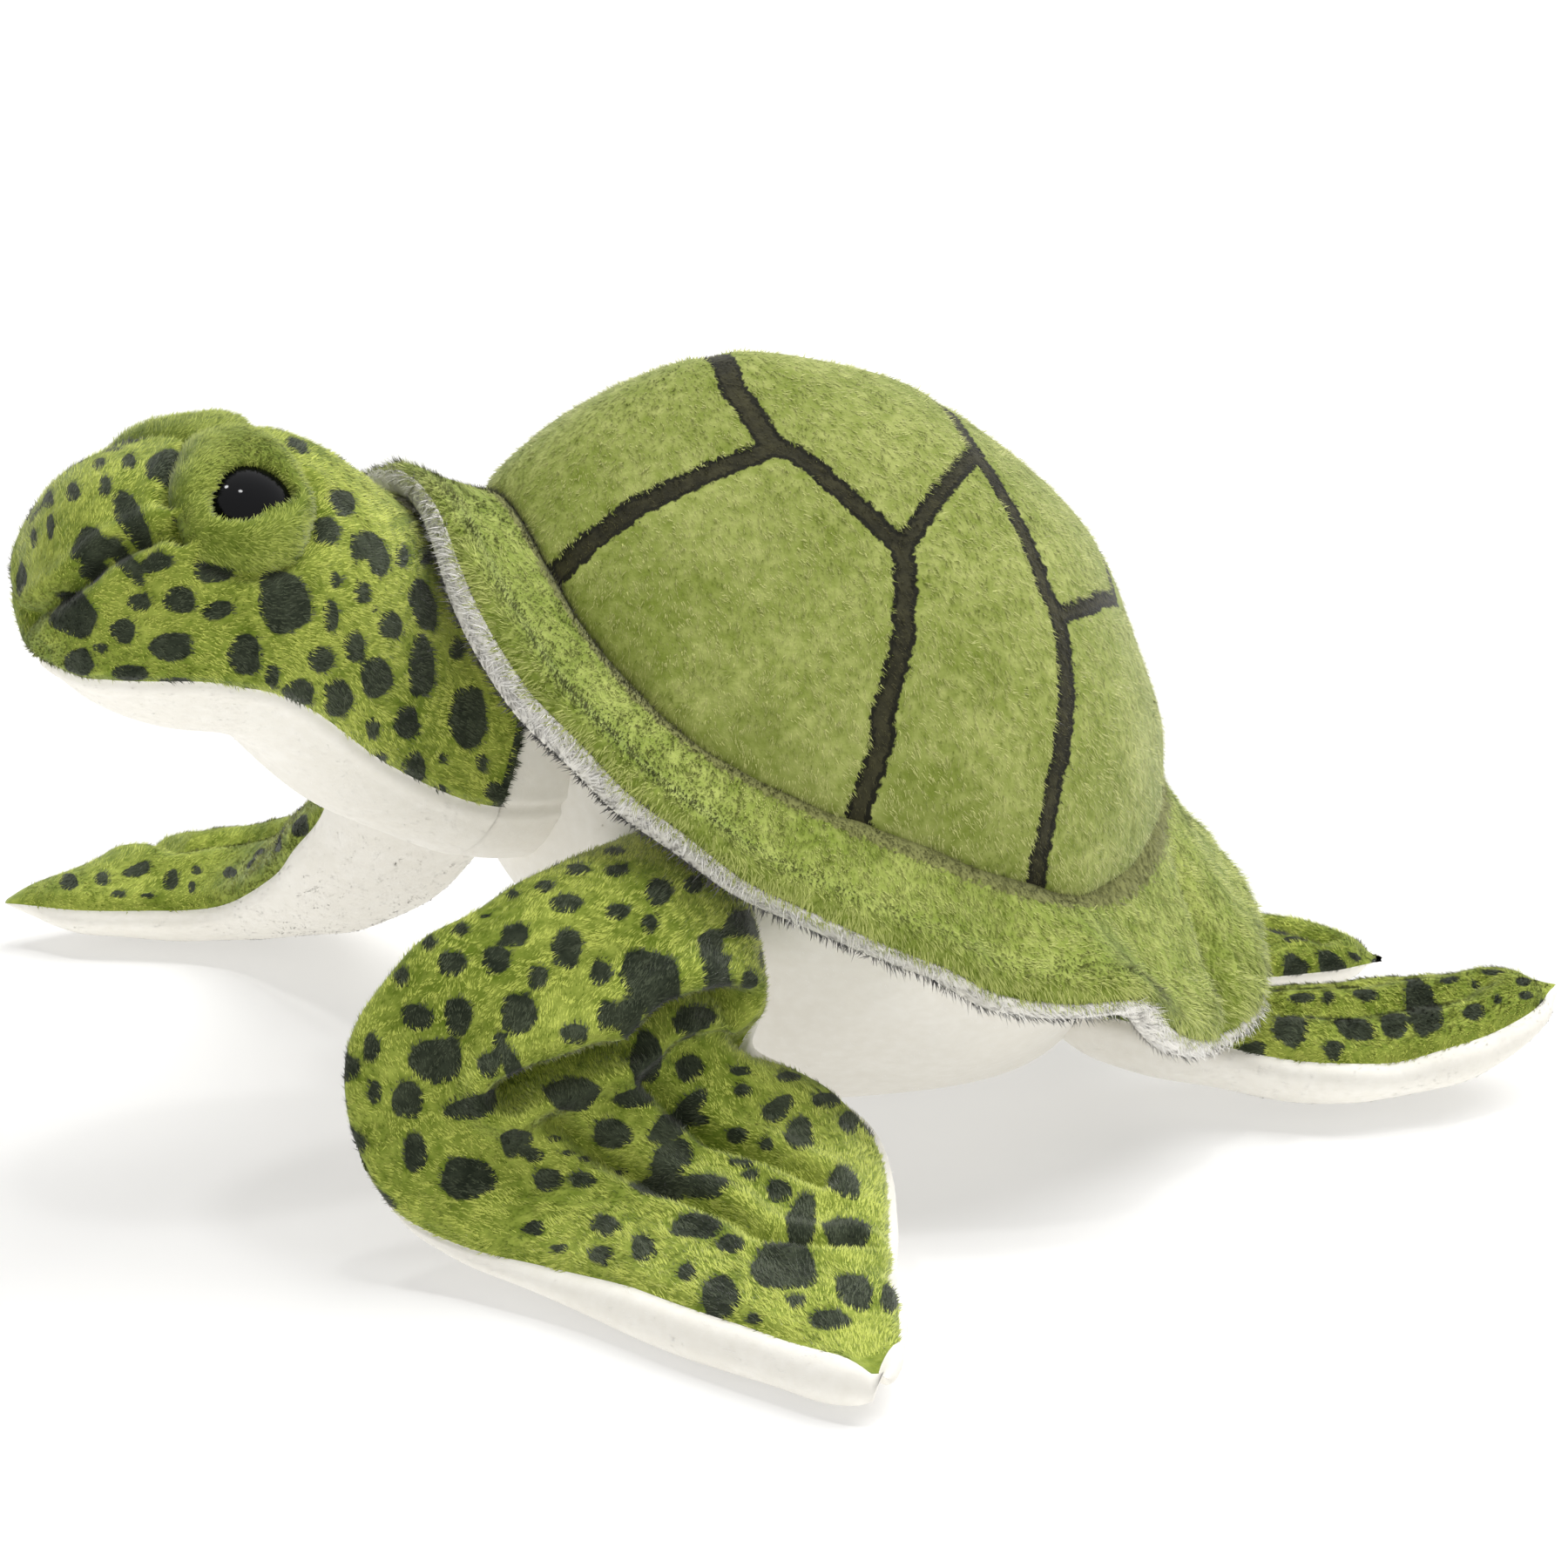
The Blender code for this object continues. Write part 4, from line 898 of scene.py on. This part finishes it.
def head_place(share, turn):
    """A place on the head's cloth at a share of its length and a turn in degrees."""
    return limb_skin(head_lines, np.array([share]), np.radians(np.array([turn])), skin_depth)[0]


eye_black = plastic("black eye plastic", (0.0025, 0.0026, 0.0035), 900.0, 4.0, 0.06, 0.03, 0.14)
eye_radius, eye_dome, eye_seat = 0.0076, 0.0042, 0.0004
eye_share, eye_turn = 0.603, 51.0
lid_reading = [(588, 308), (598, 263), (638, 222), (700, 206), (762, 222), (803, 252), (824, 272), (803, 308),
               (752, 343), (690, 363), (640, 363), (599, 338)]
eye_middle = head_place(eye_share, eye_turn)
brow_ahead = unit(head_place(eye_share + 0.03, eye_turn) - head_place(eye_share - 0.03, eye_turn))
brow_up = unit(head_place(eye_share, eye_turn + 12.0) - head_place(eye_share, eye_turn - 12.0))
brow_out = unit(np.cross(brow_ahead, brow_up))
if brow_out @ (eye_middle - neck_root) < 0.0 or brow_out[1] > 0.0:
    brow_out = -brow_out
brow_up = unit(brow_up - brow_out * (brow_up @ brow_out))
brow_ahead = unit(np.cross(brow_up, brow_out))
near_brow = head_places[(np.linalg.norm(head_places - eye_middle, axis=-1) < 0.021)
                        & (np.sum(head_normals * brow_out, axis=-1) > 0.2)]


def brow_terms(u, v):
    u, v = u * 100.0, v * 100.0
    return np.stack([u ** i * v ** j for i in range(5) for j in range(5 - i)], axis=-1)


near_ahead, near_up, near_out = (
    (near_brow - eye_middle) @ way for way in (brow_ahead, brow_up, brow_out))
brow_fit = np.linalg.lstsq(brow_terms(near_ahead, near_up), near_out, rcond=None)[0]


def outline_reach(reading, angles):
    """Distance from the eye's middle to an outline read in the photo, at angles round it."""
    away = seen_places(head_places, head_normals, head_crop, reading) - eye_middle
    u, v = away @ brow_ahead, away @ brow_up
    order = np.argsort(np.arctan2(v, u))
    return np.interp(angles, np.arctan2(v, u)[order], np.hypot(u, v)[order], period=2.0 * math.pi)


patch_angles = np.linspace(-math.pi, math.pi, 180, endpoint=False)
lid_reach = outline_reach(lid_reading, patch_angles)
patch_reach = outline_reach(patch_reading, patch_angles)
for _ in range(3):
    lid_reach = (np.roll(lid_reach, 2) + np.roll(lid_reach, -2) + 2.0 * lid_reach) / 4.0
    patch_reach = (np.roll(patch_reach, 3) + np.roll(patch_reach, -3) + 2.0 * patch_reach) / 4.0
eye_at_lid = eye_seat + eye_dome * np.sqrt(np.clip(1.0 - (lid_reach / eye_radius) ** 2, 0.0, 1.0))
lid_edge_height = np.maximum(eye_at_lid + 0.0005, 0.0016)
pad_middle, pad_slope = 0.0029, 0.0011
pad_height = (pad_middle - pad_slope * np.clip(np.sin(patch_angles), 0, 1)
              + pad_slope * np.clip(-np.sin(patch_angles), 0, 1))
pad_height = np.maximum(pad_height, lid_edge_height + 0.0003)
pad_crest = 0.3
patch_rows = []
for step in np.concatenate([np.linspace(-0.16, -0.02, 6), np.linspace(0.0, 1.0, 46)]):
    reach = lid_reach + (patch_reach - lid_reach) * max(step, 0.0) + min(step, 0.0) * 0.004
    beyond = (step - pad_crest) / (1.0 - pad_crest)
    if step < 0.0:
        lift = lid_edge_height + step * 0.016
    elif step < pad_crest:
        lift = pad_height - (pad_height - lid_edge_height) * ((pad_crest - step) / pad_crest) ** 2
    else:
        lift = pad_height * math.sqrt(max(0.0, 1.0 - beyond ** 2)) - 0.0009 * beyond ** 4
    u, v = reach * np.cos(patch_angles), reach * np.sin(patch_angles)
    height = brow_terms(u, v) @ brow_fit
    patch_rows.append(eye_middle + brow_ahead * u[:, None] + brow_up * v[:, None]
                      + brow_out * (height + lift)[:, None])
patch_left = np.stack(patch_rows)
eye_turns = np.linspace(0.0, 2.0 * math.pi, 72, endpoint=False)
eye_ring = brow_ahead * np.cos(eye_turns)[:, None] + brow_up * np.sin(eye_turns)[:, None]
eye_rows = [eye_middle + brow_out * (eye_seat + eye_dome * math.sin(rise)) + eye_ring * eye_radius * math.cos(rise)
            for rise in np.linspace(0.0, math.pi / 2.0, 20)]
eye_rows.insert(0, eye_rows[0] - brow_out * 0.0010)
for side_name, side in (("left", 1.0), ("right", -1.0)):
    mirror = np.array((1.0, side, 1.0))
    patch_places = patch_left * mirror
    patch_normals = facing(patch_places, True, (eye_middle - brow_out * 0.02) * mirror)
    toward_eye = patch_places[0].mean(axis=0) - patch_places
    back_lie = np.broadcast_to(np.array((1.0, 0.0, -0.15)), patch_places.shape) * 0.02
    closeness = np.clip(np.linspace(1.2, -0.4, patch_places.shape[0])[:, None, None], 0.0, 1.0)
    patch_nap = unit(toward_eye) * closeness + back_lie * 40.0 * (1.0 - closeness)
    rings = np.linspace(0.12, 0.48, patch_places.shape[0])[:, None]
    patch_chart = np.stack([0.5 + rings * wave[None] for wave in (np.cos(patch_angles), np.sin(patch_angles))],
                           axis=-1)
    patch_length = np.full(patch_places.shape[:2], 0.0015)
    patch_length[:4] = 0.0
    patch = sew_panel(f"eye_patch_cloth_{side_name}", patch_places, patch_normals, patch_nap, patch_chart,
                      unmarked(patch_places), patch_length, True, lid_green, 9500, 0.00028, 0.32, 65)
    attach(patch, "head")
    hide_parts(f"eye_patch_{side_name}")
    eye_places = np.stack(eye_rows) * mirror
    eye_mesh = bpy.data.meshes.new(f"eye_button_{side_name}")
    count = len(eye_turns)
    faces = []
    for row in range(len(eye_rows) - 1):
        for column in range(count):
            after = (column + 1) % count
            below, above = row * count, (row + 1) * count
            face = (below + column, below + after, above + after, above + column)
            faces.append(face if side > 0 else face[::-1])
    eye_mesh.from_pydata([tuple(place) for place in eye_places.reshape(-1, 3)], [], faces)
    eye_mesh.validate()
    eye_mesh.shade_smooth()
    eye_mesh.materials.append(eye_black)
    eye = bpy.data.objects.new(f"eye_button_{side_name}", eye_mesh)
    bpy.context.scene.collection.objects.link(eye)
    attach(eye, "head")
    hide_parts(f"eye_{side_name}")

# Lock washers: a moulded white ring pressed on each eye's shank, hidden inside the head.
washer_white = plastic("washer plastic", (0.80, 0.80, 0.78), 700.0, 2.0, 0.50, 0.35, 0.5)
for side_name in ("left", "right"):
    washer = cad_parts[f"eye_washer_{side_name}"]
    for slot_index in range(len(washer.material_slots)):
        washer.material_slots[slot_index].material = washer_white

# Flippers: each is a flat bag of two panels, spotted green pile above and cream pile below,
# sewn round its edge, stuffed softly, and sewn to the body by its rounded root.
front_reach = 0.100
front_shares = {
    "left": [
        (0.22, 0.09, 0.69, -0.10, 0.17, 0.44, 0.110),
        (0.55, 0.12, 0.61, -0.10, 0.21, 0.34, 0.125),
        (0.72, 0.10, 0.37, -0.17, 0.25, 0.26, 0.125),
        (0.66, 0.18, 0.09, -0.26, 0.34, 0.20, 0.115),
        (0.46, 0.42, 0.050, -0.24, 0.46, 0.140, 0.110),
        (0.35, 0.66, 0.050, -0.13, 0.66, 0.095, 0.085),
        (0.25, 0.88, 0.055, -0.07, 0.84, 0.070, 0.065),
    ],
    "right": [
        (0.22, 0.09, 0.66, -0.08, 0.11, 0.46, 0.110),
        (0.30, 0.26, 0.40, -0.08, 0.34, 0.30, 0.130),
        (0.31, 0.50, 0.21, -0.14, 0.62, 0.20, 0.130),
        (0.35, 0.70, 0.100, -0.02, 0.98, 0.115, 0.115),
        (0.47, 0.78, 0.090, 0.16, 1.08, 0.110, 0.105),
        (0.61, 0.86, 0.085, 0.38, 1.10, 0.100, 0.090),
    ],
}
front_tips = {"left": (0.10, 1.06, 0.06), "right": (0.70, 1.02, 0.09)}
rear_reach = 0.084
rear_shares = {
    "left": [
        (0.14, 0.29, 0.145, 0.14, -0.08, 0.170, 0.105),
        (0.34, 0.46, 0.115, 0.34, -0.05, 0.150, 0.110),
        (0.56, 0.50, 0.110, 0.56, 0.00, 0.145, 0.105),
        (0.78, 0.48, 0.135, 0.75, 0.08, 0.165, 0.095),
        (0.93, 0.43, 0.180, 0.90, 0.17, 0.195, 0.070),
    ],
    "right": [
        (0.14, 0.18, 0.125, 0.16, -0.02, 0.135, 0.095),
        (0.34, 0.36, 0.090, 0.36, 0.00, 0.105, 0.095),
        (0.56, 0.48, 0.075, 0.56, 0.00, 0.085, 0.085),
        (0.78, 0.48, 0.070, 0.75, 0.08, 0.080, 0.075),
        (0.93, 0.43, 0.070, 0.90, 0.17, 0.075, 0.060),
    ],
}
rear_tips = {"left": (1.0, 0.32, 0.215), "right": (1.0, 0.32, 0.070)}
flipper_facts = (
    ("front_flipper", "left", -1.0, (-0.042, -0.042, 0.056), 0.0145, -1.0, front_reach, front_shares["left"],
     front_tips["left"], 0.0, (0.0, -1.0, 1.0), 76000, 40000),
    ("front_flipper", "right", 1.0, (-0.042, 0.042, 0.056), 0.0145, -1.0, front_reach, front_shares["right"],
     front_tips["right"], 0.0, (0.0, 1.0, 1.0), 50000, 34000),
    ("rear_flipper", "left", -1.0, (0.052, -0.032, 0.017), 0.0105, 1.0, rear_reach, rear_shares["left"],
     rear_tips["left"], 0.0, (0.0, 0.0, 1.0), 34000, 22000),
    ("rear_flipper", "right", 1.0, (0.052, 0.032, 0.017), 0.0105, 1.0, rear_reach, rear_shares["right"],
     rear_tips["right"], math.radians(40), (0.0, 0.0, 1.0), 30000, 20000),
)


def flipper_lines(side, root, ball_radius, ahead_sign, reach, rows, tip, turn, top):
    """The lines of one flipper from its root to its tip."""
    root = np.array(root)
    swing = -turn * side
    spin = np.array(((math.cos(swing), -math.sin(swing), 0.0), (math.sin(swing), math.cos(swing), 0.0),
                     (0.0, 0.0, 1.0)))

    def from_root(forward, out, height):
        arm = np.array((forward * ahead_sign, out * side, height)) * reach
        arm[2] -= root[2]
        return root + spin @ arm

    middles, acrosses, widths, heights = [], [], [], []
    for row in rows:
        leading, trailing = from_root(*row[0:3]), from_root(*row[3:6])
        middles.append((leading + trailing) / 2.0)
        acrosses.append(unit(leading - trailing))
        widths.append(np.linalg.norm(leading - trailing) / 2.0)
        heights.append(row[6] * reach)
    first = unit(middles[0] - root)
    level = unit(acrosses[0] - first * (first @ acrosses[0]))
    rows = limb_rows([root] + middles, [level] + acrosses, [ball_radius] + widths, [ball_radius] + heights,
                     np.array(top), first)
    return limb_lines(rows, from_root(*tip))


near_front_crop = (400.0, 940.0, 2.376)
far_front_crop = (0.0, 780.0, 2.8)
rear_crop = (1130.0, 860.0, 2.340)
near_front_readings = [
    (720, 85, 35, 12), (620, 140, 40, 18), (725, 140, 38, 18), (530, 190, 28, 20), (440, 210, 20, 18),
    (595, 230, 50, 28), (850, 195, 40, 42), (945, 180, 30, 25), (735, 260, 38, 25), (825, 290, 25, 32),
    (370, 265, 15, 10), (300, 300, 25, 22), (445, 320, 42, 35), (215, 340, 22, 25), (600, 350, 45, 60),
    (280, 385, 45, 38), (395, 380, 42, 44), (515, 425, 32, 38), (690, 420, 32, 40), (825, 430, 85, 80),
    (770, 540, 40, 60), (990, 335, 38, 35), (1020, 385, 35, 18), (1090, 290, 55, 30, -40),
    (1010, 470, 45, 35), (1100, 440, 25, 30), (140, 430, 25, 30), (185, 550, 52, 38, -25),
    (295, 550, 40, 60), (465, 530, 55, 62), (705, 540, 28, 48), (615, 580, 45, 30), (60, 620, 25, 45),
    (410, 605, 20, 38), (375, 660, 35, 35), (240, 670, 78, 66), (455, 700, 28, 32), (160, 770, 48, 55),
    (70, 750, 20, 35), (330, 790, 75, 34, 5), (180, 910, 35, 60), (450, 880, 48, 35), (505, 925, 30, 22),
    (330, 985, 82, 62), (550, 980, 45, 35), (645, 980, 38, 25), (595, 905, 22, 10), (570, 865, 20, 10),
    (655, 925, 20, 10), (745, 965, 22, 12), (510, 1110, 30, 25), (705, 1105, 42, 32), (700, 1190, 38, 28),
    (580, 1170, 25, 15), (810, 1170, 38, 40), (850, 1020, 65, 32, -15), (720, 860, 60, 45),
    (890, 920, 60, 48, 15), (970, 1000, 70, 38), (615, 750, 75, 50), (795, 760, 60, 28),
    (890, 830, 55, 26, -10), (815, 650, 50, 58), (950, 550, 60, 36), (930, 680, 40, 38),
    (1085, 740, 28, 22), (1075, 685, 40, 14), (1170, 790, 55, 32, 38), (1205, 700, 35, 15),
    (1235, 865, 42, 50), (1310, 765, 45, 24), (1370, 830, 30, 35), (1075, 935, 45, 12), (1100, 975, 25, 18),
    (1180, 1020, 38, 36), (1140, 890, 20, 22), (1060, 870, 35, 24), (970, 825, 20, 20),
    (1240, 1095, 45, 42), (1355, 985, 50, 42), (1370, 1130, 68, 66), (950, 1110, 75, 42, 5),
    (1040, 1155, 40, 30), (1190, 1220, 96, 64), (925, 1235, 28, 28), (1015, 1290, 56, 54),
    (1115, 1360, 25, 18), (1225, 1315, 30, 22), (1385, 1290, 62, 48, -45), (1480, 1310, 25, 58),
    (1320, 1370, 60, 30),
]
far_front_readings = [
    (222, 645, 32, 30), (322, 635, 25, 25), (440, 610, 50, 22, 20), (380, 685, 25, 14), (475, 690, 25, 10),
    (545, 640, 26, 38, -15), (615, 660, 12, 30), (630, 610, 18, 16), (740, 615, 25, 20), (830, 560, 28, 25),
    (890, 530, 25, 28), (905, 480, 25, 14), (965, 470, 28, 40, -20), (800, 590, 15, 25),
]
near_rear_readings = [
    (855, 668, 38, 15), (930, 665, 18, 22), (1025, 655, 38, 18, -10), (710, 700, 32, 28),
    (825, 735, 50, 56, 0), (995, 740, 62, 36, -25), (1105, 735, 42, 42, -40), (1180, 690, 68, 42, -35),
    (945, 800, 28, 30), (715, 815, 45, 28, 10), (605, 850, 35, 14), (480, 800, 55, 38, -20),
    (1315, 705, 32, 26), (1250, 615, 28, 10, 10), (1150, 615, 30, 9, -10), (1365, 597, 35, 8),
    (1450, 620, 22, 13), (1320, 630, 12, 15), (1378, 665, 12, 15), (1453, 658, 22, 12),
]
far_rear_readings = [
    (735, 605, 45, 48), (840, 595, 38, 38), (935, 590, 38, 35), (840, 507, 40, 8), (1000, 555, 30, 10, -30),
    (1075, 610, 15, 10),
]
flipper_spots = {("front_flipper", "left"): (near_front_crop, near_front_readings),
                 ("front_flipper", "right"): (far_front_crop, far_front_readings),
                 ("rear_flipper", "left"): (rear_crop, near_rear_readings),
                 ("rear_flipper", "right"): (rear_crop, far_rear_readings)}
front_channels = [
    ([(1040, 490), (930, 495), (860, 520), (790, 570), (750, 610), (690, 640), (600, 665), (520, 700),
      (430, 745)], 0.0072, 0.0021),
    ([(430, 745), (520, 800), (600, 840), (680, 910), (750, 950), (850, 1000), (950, 1040), (1050, 1080),
      (1120, 1130), (1180, 1145), (1300, 1160), (1400, 1160)], 0.0026, 0.0017),
    ([(760, 610), (790, 690), (850, 750), (930, 820), (1000, 880), (1080, 900), (1170, 930), (1250, 970),
      (1290, 985)], 0.0026, 0.0017),
]
far_channels = [([(0.42, 60.0), (0.42, 90.0), (0.44, 120.0)], 0.0030, 0.0035),
                ([(0.46, 75.0), (0.60, 80.0), (0.75, 80.0), (0.84, 120.0), (0.88, 180.0)], 0.0022, 0.0024),
                ([(0.46, 105.0), (0.60, 110.0), (0.70, 120.0), (0.74, 180.0)], 0.0022, 0.0024)]
rear_channels = [([(0.30, 80.0), (0.50, 78.0), (0.72, 85.0), (0.80, 100.0)], 0.0016, 0.0022),
                 ([(0.30, 110.0), (0.50, 112.0), (0.68, 130.0)], 0.0014, 0.0022)]
flipper_channels = {("front_flipper", "right"): far_channels,
                    ("rear_flipper", "left"): rear_channels, ("rear_flipper", "right"): rear_channels}
seam_turns = {
    ("front_flipper", "left"): (((0.0, 0.30, 0.42, 0.50, 0.58, 0.75, 0.90, 0.95, 0.965, 0.98, 1.0),
                                 (0, -12, -16, -4, 14, 31, 38, 40, 54, 68, 70)),
                                ((0.0, 0.25, 0.34, 0.45, 0.60, 0.80, 0.95, 0.965, 0.98, 1.0),
                                 (180, 176, 166, 172, 168, 166, 160, 140, 114, 110))),
    ("front_flipper", "right"): (((0.0, 0.6, 0.95, 1.0), (4, 8, 12, 20)), ((0.0, 1.0), (180, 180))),
    ("rear_flipper", "left"): (((0.0, 0.3, 0.9, 0.97, 1.0), (0, 24, 36, 52, 65)),
                               ((0.0, 0.9, 0.97, 1.0), (180, 176, 145, 115))),
    ("rear_flipper", "right"): (((0.0, 1.0), (0, 0)), ((0.0, 1.0), (180, 180))),
}
flipper_bulges = {
    ("front_flipper", "left"): [
        (0.25, 85.0, 0.09, 42.0, 0.0030), (0.255, 122.0, 0.035, 15.0, 0.0034),
        (0.300, 103.0, 0.032, 12.0, 0.0036), (0.345, 91.0, 0.030, 11.0, 0.0034),
        (0.385, 77.0, 0.030, 11.0, 0.0028), (0.400, 112.0, 0.040, 13.0, -0.0022),
        (0.345, 160.0, 0.032, 34.0, -0.0075), (0.46, 150.0, 0.06, 22.0, 0.0020),
        (0.62, 94.0, 0.14, 8.0, 0.0018), (0.55, 55.0, 0.20, 18.0, 0.0014), (0.60, 138.0, 0.16, 14.0, 0.0018),
        (0.86, 90.0, 0.07, 45.0, 0.0012), (0.87, -8.0, 0.11, 50.0, 0.0030), (0.50, -12.0, 0.12, 50.0, -0.0026),
        (0.965, -5.0, 0.045, 65.0, 0.0034), (0.955, 178.0, 0.045, 50.0, 0.0026),
        (0.848, 176.0, 0.018, 28.0, -0.0036)],
    ("front_flipper", "right"): [(0.30, 80.0, 0.12, 40.0, 0.0024)],
    ("rear_flipper", "left"): [(0.55, 95.0, 0.20, 16.0, 0.0012)],
    ("rear_flipper", "right"): [],
}
flipper_columns = 130
bare_tip = 0.965
least_height = 0.0004
for (kind, side_name, side, root, ball_radius, ahead_sign, reach, rows, tip, turn, top,
     top_blades, low_blades) in flipper_facts:
    key = (kind, side_name)
    lines = flipper_lines(side, root, ball_radius, ahead_sign, reach, rows, tip, turn, top)
    low_seam, high_seam = seam_turns[key]
    places, share_grid, turns = two_panels(
        lines, 170, flipper_columns, lambda share: np.interp(share, *low_seam),
        lambda share: np.interp(share, *high_seam), skin_depth, end=0.985)
    inside = along_limb(lines, share_grid)[0]
    normals = facing(places, True, inside)
    away_from_root = np.clip(share_grid * 5.0 - 0.5, 0.0, 1.0)
    places = places + normals * (ripples(places, 0.024, 81)[..., 0] * 0.0004 * away_from_root)[..., None]
    places = swell(places, normals, share_grid, turns, flipper_bulges[key])
    sewn = [(np.concatenate([places[18:, 0], places[18:, flipper_columns - 1]]), 0.0008, 0.0013)]
    for stops, depth, width in flipper_channels.get(key, ()):
        sewn.append((route_on(lines, stops, skin_depth), depth, width))
    if key == ("front_flipper", "left"):
        normals = facing(places, True, inside)
        for reading, depth, width in front_channels:
            sewn.append((seen_route(places, normals, near_front_crop, reading), depth, width))
    pressed = press(places, normals, sewn)
    toward_tip = np.clip((share_grid - 0.90) / 0.05, 0.0, 1.0)
    places = pressed + (places - pressed) * toward_tip[..., None]
    places[..., 2] = np.maximum(places[..., 2], least_height)
    normals = facing(places, True, inside)
    mark = spot_edges(places, normals, share_grid, seen_spots(places, normals, *flipper_spots[key]), 83,
                      extra=900, sizes=(1.4, 3.6), low_share=0.1)
    top_nodes = [f"{kind}_{part}_{side_name}" for part in ("top", "stuffing", "wad")]
    cloth_of_limb(f"{kind}_top_cloth_{side_name}", f"{kind}_{side_name}", top_nodes, places, normals, share_grid,
                  slice(0, flipper_columns), mark, spotted_green, "spotted_green_pile", top_blades, 0.0014, 84,
                  tip_bare=bare_tip)
    cloth_of_limb(f"{kind}_underside_cloth_{side_name}", f"{kind}_{side_name}",
                  [f"{kind}_underside_{side_name}"], places, normals, share_grid,
                  np.r_[flipper_columns - 1:places.shape[1], 0], unmarked(places), cream_pile, "cream_pile",
                  low_blades, 0.0009, 85, tip_bare=bare_tip, stand=0.12)
